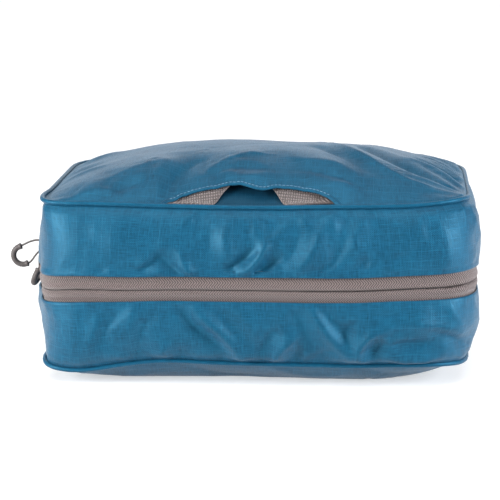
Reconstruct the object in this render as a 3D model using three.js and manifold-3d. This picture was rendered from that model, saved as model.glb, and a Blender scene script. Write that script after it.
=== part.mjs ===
// A small packing cube: a rectangular fabric pouch with a wrap-round double-slider zip,
// a lid that folds back on its rear panel, and a webbing handle in a pocket under a slotted top.
// Millimetres. +X is the long side, +Y the back (hinge side), +Z up.
// The origin is the centre of the flat bottom, on the surface that the cube rests on.
import * as THREE from 'three';
import { mergeVertices } from 'three/addons/utils/BufferGeometryUtils.js';
import Module from 'manifold-3d';

const wasm = await Module();
wasm.setup();

// ---- Driving dimensions ----
const WIDTH = 260; // piping to piping, along X
const DEPTH = 180; // piping to piping, along Y
const BODY_HEIGHT = 102; // bottom piping to top piping
const BOTTOM_CROWN = 13; // how far the bottom sags below its piping
const TOP_CROWN = 22; // how far the top swells above its piping
const ZIP_RISE = 49; // zip centre line above the bottom piping
const SIDE_BULGE = 9; // side walls' swell at the zip
const FRONT_BULGE = 12; // front and back walls' swell at the zip
const FABRIC = 1.2; // stand-in thickness of a fabric wall
const GAP = 0.3; // clearance between neighbouring pieces
const PIPING_RADIUS = 1.5;
const PIPING_CORD_RADIUS = 0.7;
const TAPE_WIDTH = 7.6; // visible width of each zip tape
const TAPE_THICKNESS = 1.0;
const COIL_GAP = 1.6; // clear height between the two zip coils
const COIL_WIDTH = 2.2;
const COIL_THICKNESS = 1.2;
const WEBBING_WIDTH = 25;
const WEBBING_THICKNESS = 1.4;

// ---- Derived levels ----
const Z_BOTTOM_PIPING = BOTTOM_CROWN;
const Z_ZIP = Z_BOTTOM_PIPING + ZIP_RISE;
const Z_TOP_PIPING = Z_BOTTOM_PIPING + BODY_HEIGHT;
const HALF_WIDTH = WIDTH / 2 + 0.5; // the rounded outline loses a little at its ends
const HALF_DEPTH = DEPTH / 2 + 0.5;
const CORNER_POWER_PIPING = 12; // superellipse power of the outline at the piping
const CORNER_POWER_ZIP = 5.5; // and at the zip, where the corners are rounder
const FLAT_SHARE = 0.68; // share of the bottom's half width and half depth that lies flat

// ---- Outline stations, in degrees from +X round towards +Y ----
const BACK_SEAM = 50; // the back panel spans from this angle to its mirror
const BACK_SEAM_GAP = 0.6;
const ZIP_TAB_SPAN = 9; // the end tabs' share of the outline, next to the back seam
const STATION_STEP = 10;

// ---- Materials ----
const finish = (color, roughness, metalness = 0) => () =>
  new THREE.MeshStandardMaterial({ color, roughness, metalness });
const ripstop = finish(0x26607f, 0.55);
const pipingFabric = finish(0x2a6486, 0.55);
const liningFabric = finish(0x1f4a6b, 0.7);
const bindingTape = finish(0x3b3f46, 0.85);
const cordCore = finish(0xd8d8d4, 0.8);
const zipTape = finish(0x857672, 0.85);
const zipCoil = finish(0x5b504e, 0.5);
const webbing = finish(0x7f7674, 0.85);
const sliderMetal = finish(0x3c3a3b, 0.4, 0.6);
const pullCord = finish(0x4a4644, 0.85);
const gripPlastic = finish(0x45403f, 0.5);

// ---- Small helpers ----
const radians = THREE.MathUtils.degToRad;
const mix = THREE.MathUtils.lerp;
const clamp = THREE.MathUtils.clamp;
const signedPower = (value, power) => Math.sign(value) * Math.abs(value) ** power;

// Evenly spaced numbers from first to last, both included.
function spread(first, last, step) {
  const count = Math.max(1, Math.round((last - first) / step));
  return Array.from({ length: count + 1 }, (_, i) => mix(first, last, i / count));
}

// A closed run of angles right round the outline.
const fullTurn = spread(0, 360 - STATION_STEP, STATION_STEP);

function outlinePoint(angle, halfX, halfY, power, z) {
  const x = halfX * signedPower(Math.cos(radians(angle)), 2 / power);
  const y = halfY * signedPower(Math.sin(radians(angle)), 2 / power);
  return new THREE.Vector3(x, y, z);
}

// How far the wall has swollen at height z: 0 at either piping, 1 at the zip.
function swell(z) {
  const span = z < Z_ZIP ? ZIP_RISE : BODY_HEIGHT - ZIP_RISE;
  const away = clamp(Math.abs(z - Z_ZIP) / span, 0, 1);
  return Math.sqrt(1 - away ** 2);
}

// A point on the wall's outer skin, moved inwards by inset.
function wallPoint(angle, z, inset = 0) {
  const q = swell(z);
  const power = mix(CORNER_POWER_PIPING, CORNER_POWER_ZIP, q);
  const halfX = HALF_WIDTH + SIDE_BULGE * q - inset;
  const halfY = HALF_DEPTH + FRONT_BULGE * q - inset;
  return outlinePoint(angle, halfX, halfY, power, z);
}

// Height of the top skin over the point (x, y).
function topHeight(x, y) {
  const u = clamp(Math.abs(x) / HALF_WIDTH, 0, 1);
  const v = clamp(Math.abs(y) / HALF_DEPTH, 0, 1);
  return Z_TOP_PIPING + TOP_CROWN * (1 - u ** 3) ** 1.2 * (1 - v ** 3) ** 1.2;
}

// Height of the bottom skin at k, where k runs from 0 at the centre to 1 at the piping.
function bottomHeight(k) {
  return BOTTOM_CROWN * clamp((k - FLAT_SHARE) / (1 - FLAT_SHARE), 0, 1) ** 1.8;
}

function geometryFrom(points, faces) {
  const geometry = new THREE.BufferGeometry().setFromPoints(points);
  geometry.setIndex(faces.flat());
  geometry.computeVertexNormals();
  return geometry;
}

// Turns every face over where the closed surface would enclose a negative volume.
function facingOut(points, faces) {
  const volume = faces.reduce((sum, [a, b, c]) => {
    const cross = new THREE.Vector3().crossVectors(points[b], points[c]);
    return sum + points[a].dot(cross);
  }, 0);
  return volume > 0 ? faces : faces.map(([a, b, c]) => [a, c, b]);
}

// A solid through a run of sections, each a ring of points. The second half of each ring lies
// under the first half in reverse order, so that an open run's ends can be capped by a strip.
function loft(sections, closed) {
  const points = sections.flat();
  const size = sections[0].length;
  const count = sections.length;
  const faces = [];
  for (let i = 0; i < (closed ? count : count - 1); i++) {
    const next = (i + 1) % count;
    for (let j = 0; j < size; j++) {
      const k = (j + 1) % size;
      const [a, b, c, d] = [i * size + j, i * size + k, next * size + k, next * size + j];
      faces.push([a, b, c], [a, c, d]);
    }
  }
  if (!closed) {
    const last = (count - 1) * size;
    for (let j = 0; j < size / 2 - 1; j++) {
      const across = size - 1 - j;
      faces.push([j, across - 1, j + 1], [j, across, across - 1]);
      faces.push([last + j, last + j + 1, last + across - 1], [last + j, last + across - 1, last + across]);
    }
  }
  return geometryFrom(points, facingOut(points, faces));
}

// A strip of wall between two heights, of even thickness, over a run of angles.
function wallStrip(angles, heights, thickness, { inset = 0, closed = false } = {}) {
  const sections = angles.map((angle) => [
    ...heights.map((z) => wallPoint(angle, z, inset)),
    ...heights.toReversed().map((z) => wallPoint(angle, z, inset + thickness)),
  ]);
  return loft(sections, closed);
}

// A sheet inside the piping's outline: a square grid of lines drawn in to a superellipse, with
// its upper side at heightAt(x, y, k), where k runs from 0 at the centre to 1 at the edge.
function sheet(lines, heightAt, thickness) {
  const edge = PIPING_RADIUS + 2 * GAP;
  const size = lines.length;
  const spot = (u, v, drop) => {
    const square = Math.max(Math.abs(u), Math.abs(v));
    const power = mix(3, CORNER_POWER_PIPING, square);
    const round = (Math.abs(u) ** power + Math.abs(v) ** power) ** (1 / power);
    const pull = round > 0 ? square / round : 1;
    const x = u * pull * (HALF_WIDTH - edge);
    const y = v * pull * (HALF_DEPTH - edge);
    return new THREE.Vector3(x, y, heightAt(x, y, square) - drop);
  };
  const layer = (drop) => lines.flatMap((v) => lines.map((u) => spot(u, v, drop)));
  const points = [...layer(0), ...layer(thickness)];
  const under = size * size;
  const faces = [];
  for (let row = 0; row < size - 1; row++) {
    for (let column = 0; column < size - 1; column++) {
      const a = row * size + column;
      const [b, c, d] = [a + 1, a + size + 1, a + size];
      faces.push([a, b, c], [a, c, d]);
      faces.push([under + a, under + c, under + b], [under + a, under + d, under + c]);
    }
  }
  const rim = [
    ...Array.from({ length: size - 1 }, (_, i) => i),
    ...Array.from({ length: size - 1 }, (_, i) => (i + 1) * size - 1),
    ...Array.from({ length: size - 1 }, (_, i) => size * size - 1 - i),
    ...Array.from({ length: size - 1 }, (_, i) => (size - 1 - i) * size),
  ];
  rim.forEach((a, i) => {
    const b = rim[(i + 1) % rim.length];
    faces.push([a, under + a, under + b], [a, under + b, b]);
  });
  return geometryFrom(points, facingOut(points, faces));
}

// Boolean work: a geometry becomes a manifold solid and comes back as a geometry.
function toSolid(geometry) {
  const bare = geometry.clone();
  for (const name of ['normal', 'uv']) bare.deleteAttribute(name);
  const merged = mergeVertices(bare, 1e-4);
  const mesh = new wasm.Mesh({
    numProp: 3,
    vertProperties: Float32Array.from(merged.attributes.position.array),
    triVerts: Uint32Array.from(merged.index.array),
  });
  return new wasm.Manifold(mesh);
}

function fromSolid(solid) {
  const mesh = solid.getMesh();
  const geometry = new THREE.BufferGeometry();
  geometry.setAttribute('position', new THREE.BufferAttribute(mesh.vertProperties, 3));
  geometry.setIndex(new THREE.BufferAttribute(mesh.triVerts, 1));
  geometry.computeVertexNormals();
  return geometry;
}

// An upright prism over a plan outline.
function prism(planPoints, low, high) {
  const shape = new THREE.Shape(planPoints);
  const geometry = new THREE.ExtrudeGeometry(shape, { depth: high - low, bevelEnabled: false, steps: 1 });
  return geometry.translate(0, 0, low);
}

// A round tube along a curve.
function tube(curve, radius, sides, steps) {
  const circle = new THREE.EllipseCurve(0, 0, radius, radius).getPoints(sides).slice(0, -1);
  const section = new THREE.Shape(circle);
  return new THREE.ExtrudeGeometry(section, { steps, extrudePath: curve, bevelEnabled: false });
}

// ---- The assembly ----
const group = new THREE.Group();

function add(name, geometry, material) {
  const mesh = new THREE.Mesh(geometry, material());
  mesh.name = name;
  group.add(mesh);
  return mesh;
}

// ---- Piping: a folded fabric strip, open towards the inside, round a filler cord ----
const MOUTH = 40; // half angle of the strip's opening, which faces inwards
function pipingGeometry(z, outerRadius, innerRadius) {
  const arc = spread(-180 + MOUTH, 180 - MOUTH, 70);
  const place = (angle, turn, radius) => {
    const reach = radius * Math.cos(radians(turn));
    const lift = radius * Math.sin(radians(turn));
    return outlinePoint(angle, HALF_WIDTH + reach, HALF_DEPTH + reach, CORNER_POWER_PIPING, z + lift);
  };
  const sections = fullTurn.map((angle) => [
    ...arc.map((turn) => place(angle, turn, outerRadius)),
    ...arc.toReversed().map((turn) => place(angle, turn, innerRadius)),
  ]);
  return loft(sections, true);
}

function pipingCordGeometry(z) {
  const turns = spread(0, 288, 72);
  const sections = fullTurn.map((angle) =>
    turns.map((turn) => {
      const reach = PIPING_CORD_RADIUS * Math.cos(radians(turn));
      const lift = PIPING_CORD_RADIUS * Math.sin(radians(turn));
      return outlinePoint(angle, HALF_WIDTH + reach, HALF_DEPTH + reach, CORNER_POWER_PIPING, z + lift);
    }),
  );
  return loft(sections, true);
}

const PIPING_BORE = PIPING_CORD_RADIUS + GAP;
for (const [level, z] of [['bottom', Z_BOTTOM_PIPING], ['top', Z_TOP_PIPING]]) {
  add(`${level}_piping`, pipingGeometry(z, PIPING_RADIUS, PIPING_BORE), pipingFabric);
  add(`${level}_piping_cord`, pipingCordGeometry(z), cordCore);
}

// ---- Walls: a gusset round the front and both sides, and a back panel ----
const wallEdge = PIPING_RADIUS + GAP; // from the piping's centre line to the wall's edge
const tapeOuterEdge = COIL_GAP / 2 + TAPE_WIDTH; // from the zip's centre line to the tape's outer edge
const gussetStart = 180 - BACK_SEAM;
const gussetEnd = 360 + BACK_SEAM;
const gussetAngles = spread(gussetStart, gussetEnd, STATION_STEP);
const backAngles = spread(BACK_SEAM + BACK_SEAM_GAP, 180 - BACK_SEAM - BACK_SEAM_GAP, STATION_STEP);

const lowerWall = [Z_BOTTOM_PIPING + wallEdge, Z_ZIP - tapeOuterEdge - GAP];
const upperWall = [Z_TOP_PIPING - wallEdge, Z_ZIP + tapeOuterEdge + GAP];
const wallShares = [0, 0.12, 0.35, 0.65, 1]; // closer together near the piping, where the wall turns
const wallHeights = ([from, to]) => wallShares.map((share) => mix(from, to, share));

add('lower_gusset', wallStrip(gussetAngles, wallHeights(lowerWall), FABRIC), ripstop);
add('upper_gusset', wallStrip(gussetAngles, wallHeights(upperWall), FABRIC), ripstop);
const lowerBack = wallHeights([lowerWall[0], Z_ZIP - GAP]);
const upperBack = wallHeights([upperWall[0], Z_ZIP + GAP]);
add('lower_back_panel', wallStrip(backAngles, lowerBack, FABRIC), ripstop);
add('upper_back_panel', wallStrip(backAngles, upperBack, FABRIC), ripstop);

// ---- Zip: two tapes, each with its coil on the inside, and an end tab at each back corner ----
const zipAngles = [
  gussetStart + ZIP_TAB_SPAN,
  ...gussetAngles.slice(2, -2),
  gussetEnd - ZIP_TAB_SPAN,
];
for (const [level, side] of [['lower', -1], ['upper', 1]]) {
  const nearEdge = Z_ZIP + side * (COIL_GAP / 2);
  const farEdge = Z_ZIP + side * tapeOuterEdge;
  const coilEdge = nearEdge + side * COIL_WIDTH;
  const tape = wallStrip(zipAngles, [nearEdge, farEdge], TAPE_THICKNESS);
  const coil = wallStrip(zipAngles, [nearEdge, coilEdge], COIL_THICKNESS, { inset: TAPE_THICKNESS + GAP });
  add(`zipper_tape_${level}`, tape, zipTape);
  add(`zipper_coil_${level}`, coil, zipCoil);
}

const TAB_END_GAP = 0.5; // degrees left between a tab and the pieces beside it
const tabHeights = [Z_ZIP - COIL_GAP / 2, Z_ZIP - tapeOuterEdge];
for (const [side, start] of [['left', 180 - BACK_SEAM], ['right', BACK_SEAM - ZIP_TAB_SPAN]]) {
  const angles = spread(start + TAB_END_GAP, start + ZIP_TAB_SPAN - TAB_END_GAP, 4);
  add(`zip_end_tab_${side}`, wallStrip(angles, tabHeights, FABRIC), ripstop);
}

// ---- Seam bindings: tape over the raw seam edges, inside, just clear of the walls ----
const BINDING_WIDTH = 8;
const BINDING_THICKNESS = 1.0;
const BINDING_RISE = 3; // from the piping's centre line to the tape's near edge
const bindingInset = FABRIC + 0.5;
for (const [level, z, side] of [['lower', Z_BOTTOM_PIPING, 1], ['upper', Z_TOP_PIPING, -1]]) {
  const near = z + side * BINDING_RISE;
  const options = { inset: bindingInset, closed: true };
  const tape = wallStrip(fullTurn, [near, near + side * BINDING_WIDTH], BINDING_THICKNESS, options);
  add(`${level}_seam_binding`, tape, bindingTape);
}

// ---- Bottom panel ----
// The skin is the sheet's underside, so its upper side is one thickness higher.
const bottomLines = [-1, -0.92, -0.84, -0.76, -FLAT_SHARE, -0.25, 0.25, FLAT_SHARE, 0.76, 0.84, 0.92, 1];
add('bottom_panel', sheet(bottomLines, (x, y, k) => bottomHeight(k) + FABRIC, FABRIC), ripstop);

// ---- Handle: one length of webbing that arches back from the front seam ----
const FOOT_SPACING = 74; // centre to centre, at the seam
const LEG_LEAN = 30; // degrees that each leg leans inwards
const LEG_REACH = 25; // how far back the straight part of a leg goes
const HANDLE_HINGE_Y = -HALF_DEPTH + 3.2;
const HANDLE_HINGE_Z = Z_TOP_PIPING + 1;
const HANDLE_DEPTH = FABRIC + 1.6; // its upper face lies this far under the top skin's upper face
const FOOT_LENGTH = 4; // over which a leg settles from the hinge to under the skin
const lean = radians(LEG_LEAN);
const legEndX = FOOT_SPACING / 2 - LEG_REACH * Math.tan(lean);
const bendRadius = legEndX / Math.cos(lean); // the round bend carries straight on from both legs
const bendMiddle = LEG_REACH - bendRadius * Math.sin(lean);
const handleReach = bendMiddle + bendRadius + WEBBING_WIDTH / 2;

// A point of the handle over the plan: x across, and back behind the hinge.
function handlePoint(x, back, extra) {
  const y = HANDLE_HINGE_Y + back;
  const skin = topHeight(x, y) - HANDLE_DEPTH - extra;
  const foot = HANDLE_HINGE_Z + WEBBING_THICKNESS / 2 - extra;
  return new THREE.Vector3(x, y, mix(foot, skin, clamp(back / FOOT_LENGTH, 0, 1)));
}

function handleSection(outer, inner) {
  return [
    handlePoint(...outer, 0),
    handlePoint(...inner, 0),
    handlePoint(...inner, WEBBING_THICKNESS),
    handlePoint(...outer, WEBBING_THICKNESS),
  ];
}

// Legs are cut square to the seam at the foot, and turn in a round bend at the back.
function handleSections() {
  const half = WEBBING_WIDTH / 2;
  const legSection = (share, side) => {
    const middle = [mix(FOOT_SPACING / 2, legEndX, share), share * LEG_REACH];
    const slant = mix(0, Math.sin(lean), share);
    const width = mix(half / Math.cos(lean), half * Math.cos(lean), share);
    const outer = [side * (middle[0] + width), middle[1] + slant * half];
    const inner = [side * (middle[0] - width), middle[1] - slant * half];
    return handleSection(outer, inner);
  };
  const bendSection = (angle) => {
    const [c, s] = [Math.cos(radians(angle)), Math.sin(radians(angle))];
    const at = (radius) => [radius * c, bendMiddle + radius * s];
    return handleSection(at(bendRadius + half), at(bendRadius - half));
  };
  const legShares = [0, 0.08, 0.16, 0.4, 0.7]; // close together over the foot
  return [
    ...legShares.map((share) => legSection(share, 1)),
    ...spread(LEG_LEAN, 180 - LEG_LEAN, 10).map(bendSection),
    ...legShares.toReversed().map((share) => legSection(share, -1)),
  ];
}
add('handle_webbing', loft(handleSections(), false), webbing);

// ---- Top panel, with an arched slot, and the flap of it that lies over the handle ----
const SLOT_HALF = 53;
const SLOT_REACH = 17;
const HEM_WIDTH = 2.4;
const FLAP_MARGIN = 4; // the flap reaches this far past the handle
const flapReach = HANDLE_HINGE_Y + handleReach + HALF_DEPTH;
const BLADE_TOP = Z_TOP_PIPING + TOP_CROWN + 10;
const BLADE_FOOT = Z_TOP_PIPING - 20;
const BLADE_FRONT = -HALF_DEPTH - 10;

// A blade that cuts the top skin along half an ellipse drawn from the front seam.
function seamBlade(halfWidth, reach) {
  const arc = new THREE.EllipseCurve(0, -HALF_DEPTH, halfWidth, reach, 0, Math.PI).getPoints(18);
  const front = [new THREE.Vector2(-halfWidth, BLADE_FRONT), new THREE.Vector2(halfWidth, BLADE_FRONT)];
  return toSolid(prism([...arc, ...front], BLADE_FOOT, BLADE_TOP));
}

const topSkin = toSolid(sheet(spread(-1, 1, 1 / 7), topHeight, FABRIC));
const openBlade = seamBlade(SLOT_HALF + FLAP_MARGIN, flapReach + FLAP_MARGIN);
const flapBlade = seamBlade(SLOT_HALF + FLAP_MARGIN - GAP, flapReach + FLAP_MARGIN - GAP);
const slotBlade = seamBlade(SLOT_HALF + HEM_WIDTH, SLOT_REACH + HEM_WIDTH);
add('top_panel', fromSolid(topSkin.subtract(openBlade)), ripstop);
add('handle_flap', fromSolid(topSkin.intersect(flapBlade).subtract(slotBlade)), ripstop);

// The slot's folded hem, thicker than the skin.
const HEM_THICKNESS = 1.6;
const HEM_RISE = 0.6;
function hemSection(angle) {
  const at = (margin, drop) => {
    const x = (SLOT_HALF + margin) * Math.cos(radians(angle));
    const y = -HALF_DEPTH + (SLOT_REACH + margin) * Math.sin(radians(angle));
    return new THREE.Vector3(x, y, topHeight(x, y) + HEM_RISE - drop);
  };
  const outer = HEM_WIDTH - GAP;
  return [at(0, 0), at(outer, 0), at(outer, HEM_THICKNESS), at(0, HEM_THICKNESS)];
}
const HEM_END = 8; // degrees of the arch that the front seam's piping takes up
add('slot_hem', loft(spread(HEM_END, 180 - HEM_END, 9).map(hemSection), false), ripstop);

// ---- Backing panel: the floor of the handle's pocket, sewn in under the top panel ----
const POCKET_HALF = 58;
const POCKET_BACK = -28;
const POCKET_SAG = 12;
const POCKET_EDGE_DROP = FABRIC + 0.4; // its edges lie just under the top skin
const LINING = 0.8;
const pocketFront = -HALF_DEPTH + PIPING_RADIUS + 2 * GAP;
function pocketSection(x) {
  const across = 1 - (x / POCKET_HALF) ** 2;
  const floor = (share, extra) => {
    const y = mix(pocketFront, POCKET_BACK, share);
    const sag = POCKET_SAG * across ** 0.5 * Math.sin(Math.PI * share) ** 0.5;
    return new THREE.Vector3(x, y, topHeight(x, y) - POCKET_EDGE_DROP - sag - extra);
  };
  const shares = [0, 0.04, 0.12, 0.25, 0.5, 0.75, 0.92, 1];
  return [
    ...shares.map((share) => floor(share, 0)),
    ...shares.toReversed().map((share) => floor(share, LINING)),
  ];
}
const pocketShares = [-1, -0.93, -0.75, -0.45, 0, 0.45, 0.75, 0.93, 1];
const pocketSections = pocketShares.map((share) => pocketSection(share * POCKET_HALF));
add('handle_backing_panel', loft(pocketSections, false), liningFabric);

// ---- Sliders: two, nose to nose, on the left wall ----
// Each is drawn with x towards its nose, z out from the wall and z = 0 at the tape's face.
const SLIDER_LENGTH = 9.6;
const SLIDER_WIDTH = 8;
const SLIDER_GAP = 0.6; // between the two noses
const PLATE_THICKNESS = 1.1;
const OUTER_PLATE_AT = 0.35; // its near face, above the tape
const INNER_PLATE_AT = -3.7; // its near face, behind the coil
const POST_LENGTH = 2.2;
const POST_WIDTH = COIL_GAP - 2 * GAP;
const BAR_HEIGHT = 4.35; // the bail's bar, above the tape
const BAIL_WIDTH = 1.2;
const BAIL_HALF_LENGTH = 3.8;
const BAIL_HALF_OPENING = 2.6;
const BAIL_FOOT = OUTER_PLATE_AT + PLATE_THICKNESS + GAP;
const ZIP_FACE_X = -(HALF_WIDTH + SIDE_BULGE);
const MEETING_Y = 29; // where the two noses meet

function sliderPlate(near) {
  const half = SLIDER_WIDTH / 2;
  const nose = SLIDER_LENGTH / 2;
  const shape = new THREE.Shape();
  shape.moveTo(-nose, -half * 0.7);
  shape.quadraticCurveTo(0, -half * 1.15, nose * 0.6, -half);
  shape.quadraticCurveTo(nose, -half * 0.6, nose, 0);
  shape.quadraticCurveTo(nose, half * 0.6, nose * 0.6, half);
  shape.quadraticCurveTo(0, half * 1.15, -nose, half * 0.7);
  const options = { depth: PLATE_THICKNESS, bevelEnabled: false, curveSegments: 3 };
  return new THREE.ExtrudeGeometry(shape, options).translate(0, 0, near);
}

function sliderGeometry() {
  const low = INNER_PLATE_AT - PLATE_THICKNESS / 2;
  const high = OUTER_PLATE_AT + PLATE_THICKNESS / 2;
  const post = new THREE.BoxGeometry(POST_LENGTH, POST_WIDTH, high - low);
  post.translate(SLIDER_LENGTH / 2 - POST_LENGTH, 0, (low + high) / 2);
  const inner = toSolid(sliderPlate(INNER_PLATE_AT - PLATE_THICKNESS));
  return fromSolid(toSolid(sliderPlate(OUTER_PLATE_AT)).add(inner).add(toSolid(post)));
}

function bailGeometry() {
  const top = BAR_HEIGHT + BAIL_WIDTH / 2;
  const under = BAR_HEIGHT - BAIL_WIDTH / 2;
  const shape = new THREE.Shape();
  shape.moveTo(-BAIL_HALF_LENGTH, BAIL_FOOT);
  shape.lineTo(-BAIL_HALF_LENGTH, under);
  shape.quadraticCurveTo(-BAIL_HALF_LENGTH, top, -BAIL_HALF_OPENING, top);
  shape.lineTo(BAIL_HALF_OPENING, top);
  shape.quadraticCurveTo(BAIL_HALF_LENGTH, top, BAIL_HALF_LENGTH, under);
  shape.lineTo(BAIL_HALF_LENGTH, BAIL_FOOT);
  shape.lineTo(BAIL_HALF_OPENING, BAIL_FOOT);
  shape.lineTo(BAIL_HALF_OPENING, under);
  shape.lineTo(-BAIL_HALF_OPENING, under);
  shape.lineTo(-BAIL_HALF_OPENING, BAIL_FOOT);
  const options = { depth: BAIL_WIDTH, bevelEnabled: false, curveSegments: 3 };
  return new THREE.ExtrudeGeometry(shape, options).rotateX(Math.PI / 2).translate(0, BAIL_WIDTH / 2, 0);
}

// ---- Pulls: a loop of cord through each bail, its far end in a moulded C grip ----
// Routes are offsets from the bail's bar: x out from the wall is negative, y back, z up.
const CORD_RADIUS = 0.65;
const GRIP_RADIUS = 2;
const GRIP_BEND = 6.2; // radius of the grip's bend, at its centre line
const GRIP_LEG = 1.7; // straight length at each end of the bend
const CORD_SIDES = 8;
const CORD_STEPS = 24;
const GRIP_SIDE_STEP = 36; // degrees round the grip's bar
const GRIP_BEND_STEP = 15; // degrees along the grip's bend

const pulls = {
  // Held out to the side with its loop upright.
  back: {
    noseTo: -1,
    route: [
      [-19.4, 0, 1.7], [-17.2, 0, 2.8], [-14, 0, 4.3], [-10.2, 0, 5.3], [-6.6, 0, 5.1], [-3.2, 0, 3.6],
      [-0.6, 0, 1.9], [1.1, 0, 1.2], [1.62, 0, 0], [1.1, 0, -1.2], [-0.6, 0, -1.7], [-3.4, 0, -1.4],
      [-7, 0, -1.5], [-10.2, 0, -4.5], [-12.8, 0, -8.1], [-14.9, 0, -10.1],
    ],
    gripMiddle: new THREE.Vector3(-19.1, 0, -5.05),
    gripAxis: new THREE.Vector3(-0.936, 0, -0.352),
  },
  // Hanging down and forwards, with its loop turned to lie along the wall.
  front: {
    noseTo: 1,
    route: [
      [-4, -17, -8.5], [-3.9, -15.6, -7.1], [-4.6, -11.5, -4], [-4.9, -6.5, -0.9], [-3.7, -2.8, 1.2],
      [-1.7, -0.8, 2], [0.3, 0, 1.7], [1.4, 0, 0.9], [1.62, 0, -0.1], [1.2, 0, -1.2], [0.1, 0, -1.8],
      [-1.4, -0.5, -3.1], [-3, -2.2, -6.6], [-4.3, -4.4, -10.8], [-5.1, -6.6, -14.4],
    ],
    gripMiddle: new THREE.Vector3(-5.2, -13, -13.2),
    gripAxis: new THREE.Vector3(-0.413, -0.49, -0.768),
  },
};

function cordCurve(route) {
  const points = route.map(([x, y, z]) => new THREE.Vector3(x, y, z));
  return new THREE.CatmullRomCurve3(points, false, 'centripetal');
}

// A grip: a round bar bent through half a turn about its middle, in the plane of its axis and its
// spread, with a short straight leg at each end that runs back towards the slider.
function gripGeometry(middle, axis, spreadAlong) {
  const across = new THREE.Vector3().crossVectors(axis, spreadAlong);
  const firstSide = GRIP_SIDE_STEP / 2;
  const sideTurns = spread(firstSide, 360 - firstSide, GRIP_SIDE_STEP).map(radians);
  const ring = (centre, outwards) =>
    sideTurns.map((turn) => {
      const point = centre.clone().addScaledVector(outwards, GRIP_RADIUS * Math.cos(turn));
      return point.addScaledVector(across, GRIP_RADIUS * Math.sin(turn));
    });
  const legEnd = (side) => {
    const outwards = spreadAlong.clone().multiplyScalar(side);
    const centre = middle.clone().addScaledVector(axis, -GRIP_LEG).addScaledVector(outwards, GRIP_BEND);
    return ring(centre, outwards);
  };
  const bend = spread(90, -90, -GRIP_BEND_STEP).map((turn) => {
    const outwards = axis.clone().multiplyScalar(Math.cos(radians(turn)));
    outwards.addScaledVector(spreadAlong, Math.sin(radians(turn)));
    return ring(middle.clone().addScaledVector(outwards, GRIP_BEND), outwards);
  });
  return loft([legEnd(1), ...bend, legEnd(-1)], false);
}

function addPull(which) {
  const { noseTo, route, gripMiddle, gripAxis } = pulls[which];
  const axis = gripAxis.clone().normalize();
  const ends = [route[0], route.at(-1)].map((point) => new THREE.Vector3(...point));
  const spreadAlong = ends[0].clone().sub(ends[1]);
  spreadAlong.addScaledVector(axis, -spreadAlong.dot(axis)).normalize();

  const slider = new THREE.Group();
  slider.position.set(ZIP_FACE_X, MEETING_Y - noseTo * (SLIDER_LENGTH + SLIDER_GAP) / 2, Z_ZIP);
  const alongWall = new THREE.Vector3(0, noseTo, 0);
  const outwards = new THREE.Vector3(-1, 0, 0);
  const acrossZip = new THREE.Vector3().crossVectors(outwards, alongWall);
  slider.quaternion.setFromRotationMatrix(new THREE.Matrix4().makeBasis(alongWall, acrossZip, outwards));
  slider.add(add(`zip_slider_${which}`, sliderGeometry(), sliderMetal));
  slider.add(add(`slider_bail_${which}`, bailGeometry(), sliderMetal));
  group.add(slider);

  const pull = new THREE.Group();
  pull.position.copy(slider.position).addScaledVector(outwards, BAR_HEIGHT);
  const cord = tube(cordCurve(route), CORD_RADIUS, CORD_SIDES, CORD_STEPS);
  pull.add(add(`pull_cord_${which}`, cord, pullCord));
  pull.add(add(`pull_grip_${which}`, gripGeometry(gripMiddle, axis, spreadAlong), gripPlastic));
  group.add(pull);
}
addPull('front');
addPull('back');

export default group;
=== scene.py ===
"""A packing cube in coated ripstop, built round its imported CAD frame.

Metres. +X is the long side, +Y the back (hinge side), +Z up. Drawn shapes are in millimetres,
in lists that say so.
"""
import math

import bpy
import numpy as np
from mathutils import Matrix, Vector


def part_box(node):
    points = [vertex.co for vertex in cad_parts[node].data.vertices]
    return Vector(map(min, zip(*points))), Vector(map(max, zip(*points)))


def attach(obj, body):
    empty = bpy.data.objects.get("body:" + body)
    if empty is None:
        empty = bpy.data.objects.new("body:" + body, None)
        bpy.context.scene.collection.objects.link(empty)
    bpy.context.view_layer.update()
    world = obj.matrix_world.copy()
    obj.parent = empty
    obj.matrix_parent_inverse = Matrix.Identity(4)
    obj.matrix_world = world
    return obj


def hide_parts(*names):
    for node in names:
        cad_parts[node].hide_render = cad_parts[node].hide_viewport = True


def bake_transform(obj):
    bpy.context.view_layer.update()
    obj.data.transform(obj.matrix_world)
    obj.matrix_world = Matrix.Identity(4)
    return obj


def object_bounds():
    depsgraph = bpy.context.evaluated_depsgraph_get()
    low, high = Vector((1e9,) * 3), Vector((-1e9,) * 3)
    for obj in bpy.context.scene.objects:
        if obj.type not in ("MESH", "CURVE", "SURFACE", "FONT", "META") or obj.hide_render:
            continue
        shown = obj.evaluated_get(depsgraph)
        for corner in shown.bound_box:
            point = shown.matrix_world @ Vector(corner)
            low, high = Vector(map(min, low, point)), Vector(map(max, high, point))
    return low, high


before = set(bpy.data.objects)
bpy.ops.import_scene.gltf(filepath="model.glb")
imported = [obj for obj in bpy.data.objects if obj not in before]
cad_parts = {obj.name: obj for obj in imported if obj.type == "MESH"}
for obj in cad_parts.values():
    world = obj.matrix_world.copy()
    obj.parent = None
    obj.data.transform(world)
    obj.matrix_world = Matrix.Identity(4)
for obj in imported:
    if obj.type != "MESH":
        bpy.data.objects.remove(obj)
cad_low, cad_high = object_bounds()
MM = 0.001


# ---------------------------------------------------------------- sizes, read off the frame
def middle(node):
    low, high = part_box(node)
    return (low + high) / 2


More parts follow.
